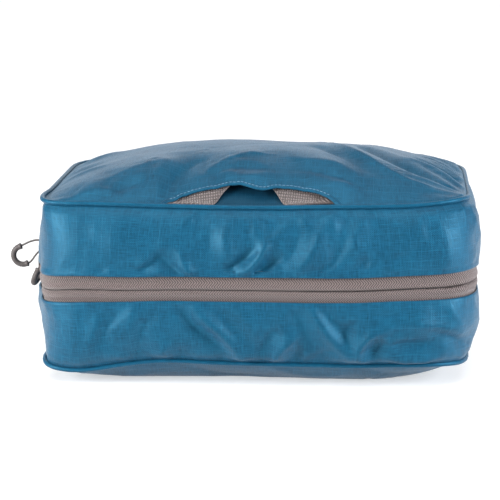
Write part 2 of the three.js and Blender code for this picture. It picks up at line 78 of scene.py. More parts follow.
PIPING_RADIUS = 1.5 * MM
STRAP_WIDTH = 25 * MM
HALF_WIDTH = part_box("top_piping")[1].x - PIPING_RADIUS
HALF_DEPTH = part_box("top_piping")[1].y - PIPING_RADIUS
Z_LOW = middle("bottom_piping").z
Z_HIGH = middle("top_piping").z
Z_ZIP = (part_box("zipper_tape_lower")[1].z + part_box("zipper_tape_upper")[0].z) / 2
TAPE_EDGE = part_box("zipper_tape_upper")[1].z - Z_ZIP
SWELL_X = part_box("zipper_tape_upper")[1].x - HALF_WIDTH
SWELL_Y = -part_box("zipper_tape_upper")[0].y - HALF_DEPTH
TOP = cad_high.z
SEAM_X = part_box("upper_back_panel")[1].x

# How square the corners are seen from above, as superellipse powers: 2 is round, more is squarer.
POWER_PIPING = 12
POWER_ZIP_LEFT = 9
POWER_ZIP_RIGHT = 7
LEFT_SQUARE = (-42 * MM, -70 * MM)  # from here to here the left wall's front end comes in
LEFT_IN_AT_ZIP = 5.2 * MM
LEFT_IN_BETWEEN = 2.2 * MM  # between a seam and the zip
LEFT_OUT_AT_SEAM = 2.0 * MM
RIGHT_IN_AT_ZIP = 2.0 * MM
RIGHT_OUT_BETWEEN = 1.2 * MM
FRONT_OUT_BETWEEN = 1.2 * MM


def mix(a, b, t):
    return a + (b - a) * t


def smooth(low, high, value):
    """0 at low, 1 at high, with an easy start and end."""
    t = np.clip((value - low) / (high - low), 0, 1)
    return t * t * (3 - 2 * t)


def unit(vectors):
    return vectors / np.maximum(np.linalg.norm(vectors, axis=-1, keepdims=True), 1e-12)


def travel_along(points):
    """The distance walked along a line up to each of its points."""
    return np.concatenate([[0], np.cumsum(np.linalg.norm(np.diff(points, axis=0), axis=1))])


def read_line(at, travel, points):
    """A line's points at other distances along it."""
    return np.stack([np.interp(at, travel, points[:, k]) for k in range(3)], 1)


def outwards_of(line):
    """Level directions out of the cube, along a line that runs round it to the right."""
    return unit(np.cross(np.gradient(line, axis=0), [0, 0, 1.0]))


def put_on(piece, body, *nodes):
    """Gives a piece to its body, in place of the frame's own nodes."""
    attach(piece, body)
    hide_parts(*nodes)
    return piece


# ---------------------------------------------------------------- camera, floor and light
def make_camera():
    """A long lens, nearly square on to the front, a little to the right and above."""
    azimuth = math.radians(3.63)
    elevation = math.radians(10.6)
    distance = 1.4437
    aim_left = 8.3 * MM
    aim_above_middle = 4.65 * MM
    target = Vector((-aim_left, 0, (Z_LOW + Z_HIGH) / 2 + aim_above_middle))
    back = Vector((math.sin(azimuth) * math.cos(elevation), -math.cos(azimuth) * math.cos(elevation),
                   math.sin(elevation)))
    camera = bpy.data.objects.new("camera", bpy.data.cameras.new("camera"))
    camera.data.sensor_width = 36
    camera.data.lens = 160
    camera.data.clip_start = 0.05
    camera.data.clip_end = 50
    camera.location = target + back * distance
    camera.rotation_mode = "QUATERNION"
    camera.rotation_quaternion = (-back).to_track_quat("-Z", "Y")
    bpy.context.scene.collection.objects.link(camera)
    bpy.context.scene.camera = camera


def area_light(name, place, aim, size, power, colour=(1, 1, 1)):
    """A soft box whose light keeps to the front of it."""
    data = bpy.data.lights.new(name, "AREA")
    data.shape = "RECTANGLE"
    data.size, data.size_y = size
    data.energy = power
    data.color = colour
    data.spread = math.radians(100)
    light = bpy.data.objects.new(name, data)
    light.location = place
    light.rotation_mode = "QUATERNION"
    light.rotation_quaternion = (Vector(aim) - Vector(place)).to_track_quat("-Z", "Y")
    bpy.context.scene.collection.objects.link(light)


def make_studio():
    """A pale floor that glows a little, a dim room, soft boxes at both sides and behind, a soft ceiling."""
    bpy.context.scene.view_settings.view_transform = "Standard"
    world = bpy.data.worlds.new("studio")
    bpy.context.scene.world = world
    world.use_nodes = True
    background = world.node_tree.nodes["Background"]
    background.inputs["Color"].default_value = (1, 1, 1, 1)
    background.inputs["Strength"].default_value = 0.3
    centre = (0, 0, 0.06)
    area_light("left", (-0.80, -0.50, 0.28), centre, (0.35, 0.4), 3.8)
    area_light("right", (0.82, -0.40, 0.30), centre, (0.35, 0.4), 3.3, (0.93, 0.95, 1.0))
    area_light("behind", (0, 2.2, 0.75), centre, (3.2, 1.1), 4.7, (0.84, 0.92, 1.0))
    overhead = bpy.data.lights.new("ceiling", "SUN")
    overhead.energy = 1.9
    overhead.angle = math.radians(60)
    ceiling = bpy.data.objects.new("ceiling", overhead)
    ceiling.rotation_euler = (math.radians(14), 0, math.radians(-18))
    bpy.context.scene.collection.objects.link(ceiling)

    mesh = bpy.data.meshes.new("floor")
    reach, far = 4.0, 9.0
    mesh.from_pydata([(-reach, -reach, 0), (reach, -reach, 0), (reach, far, 0), (-reach, far, 0)], [],
                     [(0, 1, 2, 3)])
    floor = bpy.data.objects.new("floor", mesh)
    bpy.context.scene.collection.objects.link(floor)
    material = bpy.data.materials.new("floor")
    material.use_nodes = True
    shader = material.node_tree.nodes["Principled BSDF"]
    shader.inputs["Base Color"].default_value = (0.6, 0.6, 0.6, 1)
    shader.inputs["Roughness"].default_value = 0.9
    shader.inputs["Specular IOR Level"].default_value = 0
    shader.inputs["Emission Color"].default_value = (1, 1, 1, 1)
    shader.inputs["Emission Strength"].default_value = 0.5
    mesh.materials.append(material)


# ---------------------------------------------------------------- material helpers
class Shade:
    """A material being built: short names for the nodes that the fabrics share."""

    def __init__(self, name, roughness, **sockets):
        self.material = bpy.data.materials.new(name)
        self.material.use_nodes = True
        self.tree = self.material.node_tree
        self.shader = self.tree.nodes["Principled BSDF"]
        self.shader.inputs["Roughness"].default_value = roughness
        for socket, value in sockets.items():
            self.shader.inputs[socket.replace("_", " ")].default_value = value
        uv = self.tree.nodes.new("ShaderNodeUVMap")
        uv.uv_map = "cloth"
        parts = self.tree.nodes.new("ShaderNodeSeparateXYZ")
        self.tree.links.new(uv.outputs[0], parts.inputs[0])
        self.uv, self.u, self.v = uv.outputs[0], parts.outputs[0], parts.outputs[1]

    def put(self, socket, value):
        """Sets a socket to a number, or links another node's output to it."""
        if isinstance(value, bpy.types.NodeSocket):
            self.tree.links.new(value, socket)
        else:
            socket.default_value = value

    def maths(self, operation, a, b=0.0, c=0.0):
        node = self.tree.nodes.new("ShaderNodeMath")
        node.operation = operation
        for socket, value in zip(node.inputs, (a, b, c)):
            self.put(socket, value)
        return node.outputs[0]

    def spread(self, value, low, high, to_low=0.0, to_high=1.0):
        """Maps low to high onto to_low to to_high, and stops there."""
        node = self.tree.nodes.new("ShaderNodeMapRange")
        for socket, v in zip(node.inputs, (value, low, high, to_low, to_high)):
            self.put(socket, v)
        return node.outputs[0]

    def noise(self, scale_u, scale_v, detail=2.0, roughness=0.5):
        """Noise over the cloth, with its own scale along and across, per metre."""
        stretch = self.tree.nodes.new("ShaderNodeMapping")
        stretch.inputs["Scale"].default_value = (scale_u, scale_v, 1)
        self.tree.links.new(self.uv, stretch.inputs["Vector"])
        node = self.tree.nodes.new("ShaderNodeTexNoise")
        node.inputs["Scale"].default_value = 1
        node.inputs["Detail"].default_value = detail
        node.inputs["Roughness"].default_value = roughness
        self.tree.links.new(stretch.outputs[0], node.inputs["Vector"])
        return node.outputs[0]

    def wave(self, value, pitch, phase=0.0):
        """0 to 1 and back once in every pitch metres."""
        turn = self.maths("MULTIPLY_ADD", value, 2 * math.pi / pitch, phase)
        return self.maths("MULTIPLY_ADD", self.maths("SINE", turn), 0.5, 0.5)

    def line(self, value, pitch, width):
        """1 on thin lines that stand a pitch apart, 0 between them."""
        return self.spread(self.maths("PINGPONG", value, pitch / 2), 0, width / 2, 1, 0)

    def colour(self, factor, dark, light):
        node = self.tree.nodes.new("ShaderNodeMix")
        node.data_type = "RGBA"
        self.put(node.inputs[0], factor)
        node.inputs[6].default_value = (*dark, 1)
        node.inputs[7].default_value = (*light, 1)
        self.tree.links.new(node.outputs[2], self.shader.inputs["Base Color"])

    def roughness(self, factor, low, high):
        self.tree.links.new(self.spread(factor, 0, 1, low, high), self.shader.inputs["Roughness"])

    def bump(self, height, depth, strength=1.0):
        node = self.tree.nodes.new("ShaderNodeBump")
        node.inputs["Distance"].default_value = depth
        node.inputs["Strength"].default_value = strength
        self.tree.links.new(height, node.inputs["Height"])
        self.tree.links.new(node.outputs[0], self.shader.inputs["Normal"])


def ripstop(name, dark, light, roughness=0.5):
    """Coated ripstop: a fine plain weave, thicker threads every 6 mm each way, and a soft gloss."""
    shade = Shade(name, roughness, Sheen_Weight=0.04, Sheen_Roughness=0.4, Sheen_Tint=(0.8, 0.78, 1.0, 1),
                  Specular_IOR_Level=0.6, Specular_Tint=(0.16, 0.5, 0.72, 1))
    across = shade.maths("ADD", shade.u, shade.v)
    back = shade.maths("SUBTRACT", shade.u, shade.v)
    weave = shade.maths("MULTIPLY", shade.wave(across, 1.3 * MM), shade.wave(back, 1.3 * MM))
    weft = shade.line(shade.v, 6 * MM, 0.8 * MM)
    warp = shade.line(shade.u, 6 * MM, 0.9 * MM)
    patches = shade.spread(shade.noise(70, 45), 0.38, 0.68)
    dashes = shade.maths("MULTIPLY", weft, shade.spread(shade.noise(60, 30), 0.35, 0.65, 0.25, 1.0))
    dots = shade.maths("MULTIPLY", weave, shade.maths("MULTIPLY_ADD", warp, 0.8, patches))
    threads = shade.maths("ADD", shade.noise(150, 2100), shade.noise(2100, 150))
    tone = shade.maths("MULTIPLY_ADD", threads, 1.3, -0.98)
    tone = shade.maths("MULTIPLY_ADD", dashes, 0.42, tone)
    tone = shade.maths("MULTIPLY_ADD", warp, 0.12, tone)
    tone = shade.maths("MULTIPLY_ADD", dots, 0.8, tone)
    tone = shade.maths("MULTIPLY_ADD", shade.noise(26, 26, 3), 0.35, tone)
    shade.colour(tone, dark, light)
    grid = shade.maths("MAXIMUM", weft, warp)
    shade.bump(shade.maths("MULTIPLY_ADD", grid, 0.8, shade.maths("ADD", weave, threads)), 0.12 * MM, 0.6)
    shade.roughness(threads, roughness + 0.1, roughness - 0.1)
    return shade.material


def herringbone(name, dark, light, edge=None):
    """Woven tape: narrow chevrons along it, and stray threads. It is in shade beyond edge from its middle."""
    shade = Shade(name, 0.8, Sheen_Weight=0.25, Sheen_Roughness=0.5)
    zigzag = shade.maths("PINGPONG", shade.v, 2.2 * MM)
    rib = shade.wave(shade.maths("ADD", shade.u, zigzag), 1.5 * MM)
    threads = shade.noise(900, 900)
    tone = shade.maths("MULTIPLY_ADD", rib, 1.0, shade.maths("MULTIPLY_ADD", threads, 0.6, -0.3))
    if edge:
        shaded = shade.spread(shade.maths("ABSOLUTE", shade.v), edge - 0.9 * MM, edge, 0, 0.75)
        tone = shade.maths("SUBTRACT", tone, shaded)
    shade.colour(tone, dark, light)
    shade.bump(shade.maths("MULTIPLY_ADD", threads, 0.4, rib), 0.5 * MM, 1.0)
    return shade.material


def basket_weave(name, dark, light):
    """Webbing: a coarse basket weave, with a tighter edge along each side."""
    shade = Shade(name, 0.75, Sheen_Weight=0.25, Sheen_Roughness=0.5)
    across = shade.maths("ADD", shade.u, shade.v)
    back = shade.maths("SUBTRACT", shade.u, shade.v)
    diamonds = shade.maths("MULTIPLY", shade.wave(across, 2.1 * MM), shade.wave(back, 2.1 * MM))
    threads = shade.noise(1100, 500)
    edge = shade.line(shade.maths("ADD", shade.v, STRAP_WIDTH / 2), STRAP_WIDTH, 1.6 * MM)
    tone = shade.maths("MULTIPLY_ADD", diamonds, 0.9, shade.maths("MULTIPLY_ADD", threads, 0.55, -0.2))
    tone = shade.maths("MULTIPLY_ADD", edge, 0.3, tone)
    shade.colour(tone, dark, light)
    shade.bump(shade.maths("ADD", diamonds, shade.maths("MULTIPLY", threads, 0.4)), 0.5 * MM, 0.9)
    return shade.material


def twisted(name, dark, light, pitch):
    """Cord, thread or piping filler: strands that wind round the length."""
    shade = Shade(name, 0.7, Sheen_Weight=0.2)
    wound = shade.maths("ADD", shade.u, shade.v)
    counter = shade.maths("SUBTRACT", shade.u, shade.v)
    strand = shade.maths("MAXIMUM", shade.wave(wound, pitch), shade.wave(counter, pitch))
    fuzz = shade.noise(2500, 2500)
    shade.colour(shade.maths("MULTIPLY_ADD", fuzz, 0.6, shade.maths("MULTIPLY", strand, 0.5)), dark, light)
    shade.bump(strand, 0.2 * MM, 0.8)
    return shade.material


def moulded(name, dark, light, roughness, metallic=0.0):
    """Moulded plastic or cast metal: a fine grain and slightly uneven gloss."""
    shade = Shade(name, roughness, Metallic=metallic)
    grains = shade.noise(900, 900, 3)
    wear = shade.noise(140, 140, 4)
    shade.colour(wear, dark, light)
    shade.bump(grains, 0.06 * MM, 0.6)
    shade.roughness(wear, roughness - 0.08, roughness + 0.12)
    return shade.material


shell = ripstop("shell_ripstop", (0.0015, 0.023, 0.052), (0.008, 0.086, 0.160))
piping_cloth = ripstop("piping_ripstop", (0.001, 0.030, 0.068), (0.004, 0.078, 0.148))
lining = ripstop("lining_ripstop", (0.001, 0.018, 0.038), (0.003, 0.038, 0.075), roughness=0.55)
tape_cloth = herringbone("zip_tape", (0.03, 0.022, 0.021), (0.22, 0.166, 0.158), TAPE_EDGE - 0.2 * MM)
strap_cloth = basket_weave("webbing", (0.045, 0.035, 0.034), (0.27, 0.22, 0.212))
binding_cloth = herringbone("binding_tape", (0.035, 0.038, 0.045), (0.09, 0.095, 0.11))
coil_plastic = moulded("coil_nylon", (0.10, 0.08, 0.078), (0.16, 0.13, 0.125), 0.45)
filler = twisted("piping_filler", (0.5, 0.5, 0.48), (0.75, 0.75, 0.72), 1.2 * MM)
thread = twisted("stitch_thread", (0.05, 0.16, 0.26), (0.16, 0.32, 0.45), 0.5 * MM)
cord_braid = twisted("cord_braid", (0.035, 0.03, 0.028), (0.11, 0.095, 0.09), 0.8 * MM)
slider_metal = moulded("slider_metal", (0.06, 0.055, 0.055), (0.13, 0.12, 0.12), 0.38, metallic=0.8)
grip_plastic = moulded("grip_plastic", (0.045, 0.037, 0.036), (0.085, 0.072, 0.07), 0.5)


# ---------------------------------------------------------------- mesh helpers
def new_piece(name, points, faces, uvs, material):
    """uvs has one place in metres for each vertex, or for each corner where it is as long as the corners."""
    mesh = bpy.data.meshes.new(name)
    mesh.from_pydata(np.asarray(points).tolist(), [], [list(map(int, f)) for f in faces])
    mesh.polygons.foreach_set("use_smooth", [True] * len(mesh.polygons))
    layer = mesh.uv_layers.new(name="cloth")
    corners = np.empty(len(mesh.loops), np.int64)
    mesh.loops.foreach_get("vertex_index", corners)
    uvs = np.asarray(uvs, float)
    layer.data.foreach_set("uv", (uvs if len(uvs) == len(corners) and len(uvs) != len(points)
                                  else uvs[corners]).ravel())
    mesh.materials.append(material)
    piece = bpy.data.objects.new(name, mesh)
    bpy.context.scene.collection.objects.link(piece)
    return piece


def apply_modifiers(piece):
    """Leaves the modified mesh as the piece's own."""
    graph = bpy.context.evaluated_depsgraph_get()
    done = bpy.data.meshes.new_from_object(piece.evaluated_get(graph))
    old = piece.data
    piece.modifiers.clear()
    piece.data = done
    bpy.data.meshes.remove(old)
    done.name = piece.name
    return piece


def thicken(piece, thickness):
    """Cloth of even thickness, grown inwards from its outer face."""
    solid = piece.modifiers.new("thickness", "SOLIDIFY")
    solid.thickness = thickness
    solid.offset = -1
    solid.use_even_offset = False
    return apply_modifiers(piece)


def grid_faces(rows, columns, flip=False):
    """The quads of a grid of points, numbered row by row."""
    faces = []
    for j in range(rows - 1):
        for i in range(columns - 1):
            a = j * columns + i
            quad = (a, a + 1, a + columns + 1, a + columns)
            faces.append(quad[::-1] if flip else quad)
    return faces


def grid_piece(name, points, uvs, material, thickness=None, flip=False):
    """A sheet through a grid of points. Rows run up and columns to the right, seen from outside."""
    rows, columns = points.shape[:2]
    faces = grid_faces(rows, columns, flip)
    piece = new_piece(name, points.reshape(-1, 3), faces, uvs.reshape(-1, 2), material)
    return thicken(piece, thickness) if thickness else piece


def sweep(name, centres, sides, ups, section, material, closed=False, scale=None):
    """A solid bar through centres. section lists its outline as (along side, along up)."""
    section = np.asarray(section, float)
    count, size = len(centres), len(section)
    size_factor = np.ones(count) if scale is None else np.asarray(scale, float)
    shape = section[None] * size_factor[:, None, None]
    points = centres[:, None] + shape[..., :1] * sides[:, None] + shape[..., 1:] * ups[:, None]
    uvs = np.stack(np.meshgrid(travel_along(centres), travel_along(section), indexing="ij"), 2)
    faces = []
    for i in range(count if closed else count - 1):
        n = (i + 1) % count
        for j in range(size):
            k = (j + 1) % size
            faces.append((i * size + j, n * size + j, n * size + k, i * size + k))
    if not closed:
        faces.append(tuple(range(size)))
        faces.append(tuple((count - 1) * size + j for j in reversed(range(size))))
    piece = new_piece(name, points.reshape(-1, 3), faces, uvs.reshape(-1, 2), material)
    face_outwards(piece)
    return piece


def face_outwards(piece):
    """Turns a closed mesh's faces over where they would face inwards."""
    mesh = piece.data
    volume = 0.0
    points = np.array([v.co for v in mesh.vertices])
    for face in mesh.polygons:
        corner = points[list(face.vertices)]
        for a, b in zip(corner[1:-1], corner[2:]):
            volume += np.dot(corner[0], np.cross(a, b))
    if volume < 0:
        mesh.flip_normals()


def circle(radius, count=12):
    turns = np.linspace(0, 2 * math.pi, count, endpoint=False)
    return np.stack([radius * np.cos(turns), radius * np.sin(turns)], 1)


def curve_points(knots, per_span):
    """A smooth line through knots (Catmull-Rom)."""
    knots = np.asarray(knots, float)
    padded = np.concatenate([[2 * knots[0] - knots[1]], knots, [2 * knots[-1] - knots[-2]]])
    t = (np.arange(per_span) / per_span)[:, None]
    line = []
    for a, b, c, d in zip(padded[:-3], padded[1:-2], padded[2:-1], padded[3:]):
        line.append(0.5 * (2 * b + (c - a) * t + (2 * a - 5 * b + 4 * c - d) * t ** 2
                           + (3 * b - a - 3 * c + d) * t ** 3))
    return np.concatenate(line + [knots[-1:]])


def line_frames(points, hint):
    """Sides and ups along a line, with up kept near hint."""
    tangents = unit(np.gradient(points, axis=0))
    sides = unit(np.cross(tangents, np.broadcast_to(hint, points.shape)))
    return sides, np.cross(sides, tangents)


# ---------------------------------------------------------------- the cube's smooth shape
def rounded(u, v, half_x, half_y, power):
    """Puts square coordinates u, v (-1 to 1) inside a superellipse."""
    square = np.maximum(np.abs(u), np.abs(v))
    curve = (np.abs(u) ** power + np.abs(v) ** power) ** (1 / power)
    pull = np.where(curve > 1e-9, square / np.maximum(curve, 1e-9), 1)
    return u * pull * half_x, v * pull * half_y


def top_height(x, y):
    """The top's crown over plan places: flat in the middle, falling to the seam at the edges."""
    u = np.clip(np.abs(x) / HALF_WIDTH, 0, 1)
    v = np.clip(np.abs(y) / HALF_DEPTH, 0, 1)
    return Z_HIGH + (TOP - Z_HIGH) * (1 - u ** 3) ** 1.2 * (1 - v ** 3) ** 1.2


def bottom_height(k, u):
    """Flat where it rests, curling up to the seam at its edges, latest in the middle of front and back."""
    start = 0.68 + 0.11 * (1 - u ** 2)
    return Z_LOW * np.clip((k - start) / (1 - start), 0, 1) ** 1.7


def bumps(s, marks):
    """Soft bumps along a seam: (place, rise, half width), in millimetres."""
    return sum(rise * MM * np.exp(-((s / MM - place) / reach) ** 2) for place, rise, reach in marks)


# How the seams and the zip stray up and down along the front, as packed cloth pulls on them.
BOTTOM_SEAM = [(0, 1.4, 120), (-112, -4.8, 27), (-52, 1.7, 24), (-12, 0.3, 20), (84, 0.9, 16), (113, 1.3, 20)]
TOP_SEAM = [(-12, -2.2, 80), (-122, -0.6, 14), (128, 2.2, 22)]
ZIP_SEAM = [(-140, -3.4, 26), (-80, -0.8, 25), (0, 0.1, 40), (95, 2.0, 30), (140, 3.0, 30)]
UPPER_EDGE_LIFT = 1.6 * MM  # the tape shows a little more above the zip than below it
LOWER_EDGE_LIFT = 1.0 * MM
EDGE_LIFT_REACH = 6 * MM
TOP_SEAM_DROP = 1.0 * MM  # all round
RIM_STARTS = 0.82  # how far out from the middle the seams' straying is felt in the top and the bottom


def piping_power(u, v):
    """How square the piping's corners are: those at the back and the right are rounder."""
    back = smooth(0.2, 0.8, v) * smooth(0.2, 0.8, np.abs(u))
    front_right = smooth(0.2, 0.8, -v) * smooth(0.2, 0.8, u)
    return POWER_PIPING - 5 * back - 4.5 * front_right


class Net:
    """The closed cube as two sheets and a ring of wall, on a grid of about the given cell."""

    def __init__(self, cell):
        self.columns = int(2 * HALF_WIDTH / cell) // 2 * 2 + 1
        self.rows = int(2 * HALF_DEPTH / cell) // 2 * 2 + 1
        self.across = np.linspace(-1, 1, self.columns)
        self.along = np.linspace(-1, 1, self.rows)
        u, v = self.across, self.along
        self.rim_u = np.concatenate([u[:-1], np.ones(self.rows - 1), u[:0:-1], -np.ones(self.rows - 1)])
        self.rim_v = np.concatenate([-np.ones(self.columns - 1), v[:-1], np.ones(self.columns - 1), v[:0:-1]])
        self.round = len(self.rim_u)
        self.s = None
        rim = self.ring(Z_HIGH)[:, :2]
        steps = np.linalg.norm(np.roll(rim, -1, 0) - rim, axis=1)
        travel = np.concatenate([[0], np.cumsum(steps)[:-1]])
        self.loop = steps.sum()
        front = np.interp(0, rim[:self.columns, 0], travel[:self.columns])
        self.s = (travel - front + self.loop / 2) % self.loop - self.loop / 2
        self.heights = self.levels(cell)
        self.size = self.rows * self.columns

    def levels(self, cell):
        lower = np.linspace(Z_LOW, Z_ZIP - TAPE_EDGE, int((Z_ZIP - TAPE_EDGE - Z_LOW) / cell) + 2)
        band = np.linspace(Z_ZIP - TAPE_EDGE, Z_ZIP + TAPE_EDGE, int(2 * TAPE_EDGE / cell) + 2)
        upper = np.linspace(Z_ZIP + TAPE_EDGE, Z_HIGH, int((Z_HIGH - Z_ZIP - TAPE_EDGE) / cell) + 2)
        return np.concatenate([lower, band[1:-1], upper])

    def ring(self, z):
        """The wall at height z, with the swell of each side and, once s is known, the seams' straying."""
        span = Z_ZIP - Z_LOW if z < Z_ZIP else Z_HIGH - Z_ZIP
        away = min(abs(z - Z_ZIP) / span, 1)
        q = math.sqrt(1 - away ** 2)
        at_zip = np.where(self.rim_u < 0, POWER_ZIP_LEFT, POWER_ZIP_RIGHT)
        power = mix(piping_power(self.rim_u, self.rim_v), at_zip, q)
        x, y = rounded(self.rim_u, self.rim_v, HALF_WIDTH + SWELL_X * q, HALF_DEPTH + SWELL_Y * q, power)
        edge = TAPE_EDGE / span
        lobe = math.sin(math.pi * min(max((1 - away) / (1 - edge), 0), 1)) if away > edge else 0
        left = smooth(0.5, 1.0, -x / HALF_WIDTH) * smooth(*LEFT_SQUARE, y)
        right = smooth(0.5, 1.0, x / HALF_WIDTH)
        x = x + left * (LEFT_IN_AT_ZIP * q + LEFT_IN_BETWEEN * lobe - LEFT_OUT_AT_SEAM * (1 - q))
        x = x + right * (RIGHT_OUT_BETWEEN * lobe - RIGHT_IN_AT_ZIP * q)
        y = y + np.sign(y) * smooth(0.6, 1.0, np.abs(y) / HALF_DEPTH) * FRONT_OUT_BETWEEN * lobe
        height = np.full(self.round, float(z))
        if self.s is not None:
            low = np.clip((Z_ZIP - z) / (Z_ZIP - Z_LOW), 0, 1)
            high = np.clip((z - Z_ZIP) / (Z_HIGH - Z_ZIP), 0, 1)
            height += low * self.front_only(bumps(self.s, BOTTOM_SEAM))
            height += high * (self.front_only(bumps(self.s, TOP_SEAM)) - TOP_SEAM_DROP)
            height += (1 - low) * (1 - high) * self.front_only(bumps(self.s, ZIP_SEAM))
            above = z - Z_ZIP - TAPE_EDGE
            below = z - Z_ZIP + TAPE_EDGE
            lift = UPPER_EDGE_LIFT * math.exp(-(above / EDGE_LIFT_REACH) ** 2)
            lift += LOWER_EDGE_LIFT * math.exp(-(below / EDGE_LIFT_REACH) ** 2)
            height += lift * smooth(-0.45, -0.8, self.rim_v)
        return np.stack([x, y, height], 1)

    def front_only(self, field):
        """The field whole on the front half, dying out towards the back."""
        return field * smooth(1, 0, self.rim_v)

    def wall(self):
        return np.stack([self.ring(z) for z in self.heights])

    def sheets(self):
        """The bottom and the top, as grids of points whose rims are the wall's first and last rings."""
        u, v = np.meshgrid(self.across, self.along)
        square = np.maximum(np.abs(u), np.abs(v))
        x, y = rounded(u, v, HALF_WIDTH, HALF_DEPTH, mix(4, piping_power(u, v), square ** 3))
        x = x - LEFT_OUT_AT_SEAM * smooth(0.5, 1.0, -x / HALF_WIDTH) * smooth(*LEFT_SQUARE, y)
        low_rise = self.rim_rise(bumps(x, BOTTOM_SEAM), v, square)
        high_rise = self.rim_rise(bumps(x, TOP_SEAM), v, square)
        high_rise -= TOP_SEAM_DROP * smooth(RIM_STARTS, 1.0, square)
        bottom = np.stack([x, y, bottom_height(square, u) + low_rise], 2)
        top = np.stack([x, y, top_height(x, y) + high_rise], 2)
        for sheet, z in ((bottom, Z_LOW), (top, Z_HIGH)):
            sheet.reshape(-1, 3)[self.rim_places()] = self.ring(z)
        return bottom, top

    def rim_rise(self, rise, v, square):
        """A seam's straying, carried a little way into the sheet."""
        return rise * smooth(1, 0, v) * smooth(RIM_STARTS, 1.0, square)

    def rim_places(self):
        """Where each ring point is in the sheet's grid."""
        c, r = self.columns, self.rows
        flat = list(range(c - 1)) + [j * c + c - 1 for j in range(r - 1)]
        flat += [(r - 1) * c + i for i in range(c - 1, 0, -1)] + [j * c for j in range(r - 1, 0, -1)]
        return np.array(flat)


def normals_of(points, wrap=False):
    """Unit normals of a grid of points, rows up and columns to the right seen from outside."""
    if wrap:
        across = np.roll(points, -1, 1) - np.roll(points, 1, 1)
    else:
        across = np.gradient(points, axis=1)
    return unit(np.cross(across, np.gradient(points, axis=0)))


# ---------------------------------------------------------------- folds, drawn one by one
# Each fold is (points, height, half width), in millimetres: ridges positive, valleys negative.
# On the front wall the points are (x, z).
FRONT_UPPER = [
    ([(-56, 86), (-60, 78), (-68, 71)], -2.0, 5), ([(-56, 86), (-48, 78), (-39, 71)], -2.0, 5),
    ([(-53, 76), (-53, 71)], 1.6, 8), ([(-38, 78), (-35, 70)], 2.2, 4),
    ([(-12, 112), (-15, 103), (-16, 94), (-12, 84), (-5, 73)], 1.2, 5),
    ([(-24, 104), (-26, 92), (-24, 82)], -0.4, 7), ([(-2, 106), (-4, 95), (1, 86)], -0.6, 6),
    ([(0, 88), (-9, 80), (-14, 74)], -2.2, 4), ([(8, 93), (2, 82), (-4, 73)], 2.2, 4),
    ([(14, 84), (6, 77), (1, 71)], -2.0, 4), ([(40, 104), (36, 92), (30, 82), (24, 74)], 1.6, 6),
    ([(26, 98), (23, 88), (16, 78)], -1.1, 5), ([(50, 92), (45, 82), (38, 74)], -1.3, 5),
    ([(28, 112), (31, 105)], 0.9, 3), ([(36, 112), (38, 104)], -0.9, 3), ([(44, 112), (47, 102)], 0.9, 3),
    ([(53, 112), (56, 103)], -0.8, 3), ([(-40, 112), (-36, 104)], 0.8, 4), ([(-2, 112), (3, 102)], 0.9, 4),
    ([(70, 111), (74, 98), (72, 88)], -0.8, 7), ([(88, 96), (92, 84), (90, 74)], 0.9, 8),
    ([(-78, 110), (-84, 98), (-82, 84)], 0.7, 9), ([(-98, 106), (-100, 90), (-96, 76)], -0.3, 9),
    ([(104, 112), (110, 98), (112, 84), (110, 74)], 1.2, 8), ([(66, 84), (60, 76)], -1.4, 4),
    ([(80, 78), (76, 71)], 0.8, 4), ([(-88, 76), (-92, 71)], -0.6, 4), ([(-108, 94), (-112, 78)], 0.4, 8),
    ([(-52, 92), (-60, 84), (-66, 74)], 1.1, 3.5), ([(-44, 90), (-40, 82), (-42, 74)], 1.0, 3.5),
    ([(-30, 112), (-34, 102), (-30, 92)], -0.7, 5), ([(16, 108), (10, 98), (12, 90)], -0.8, 4),
    ([(62, 106), (58, 96), (62, 86)], 0.8, 4), ([(98, 92), (86, 84), (74, 80)], -0.8, 4),
    ([(98, 110), (96, 100), (100, 90)], 0.9, 4),
]
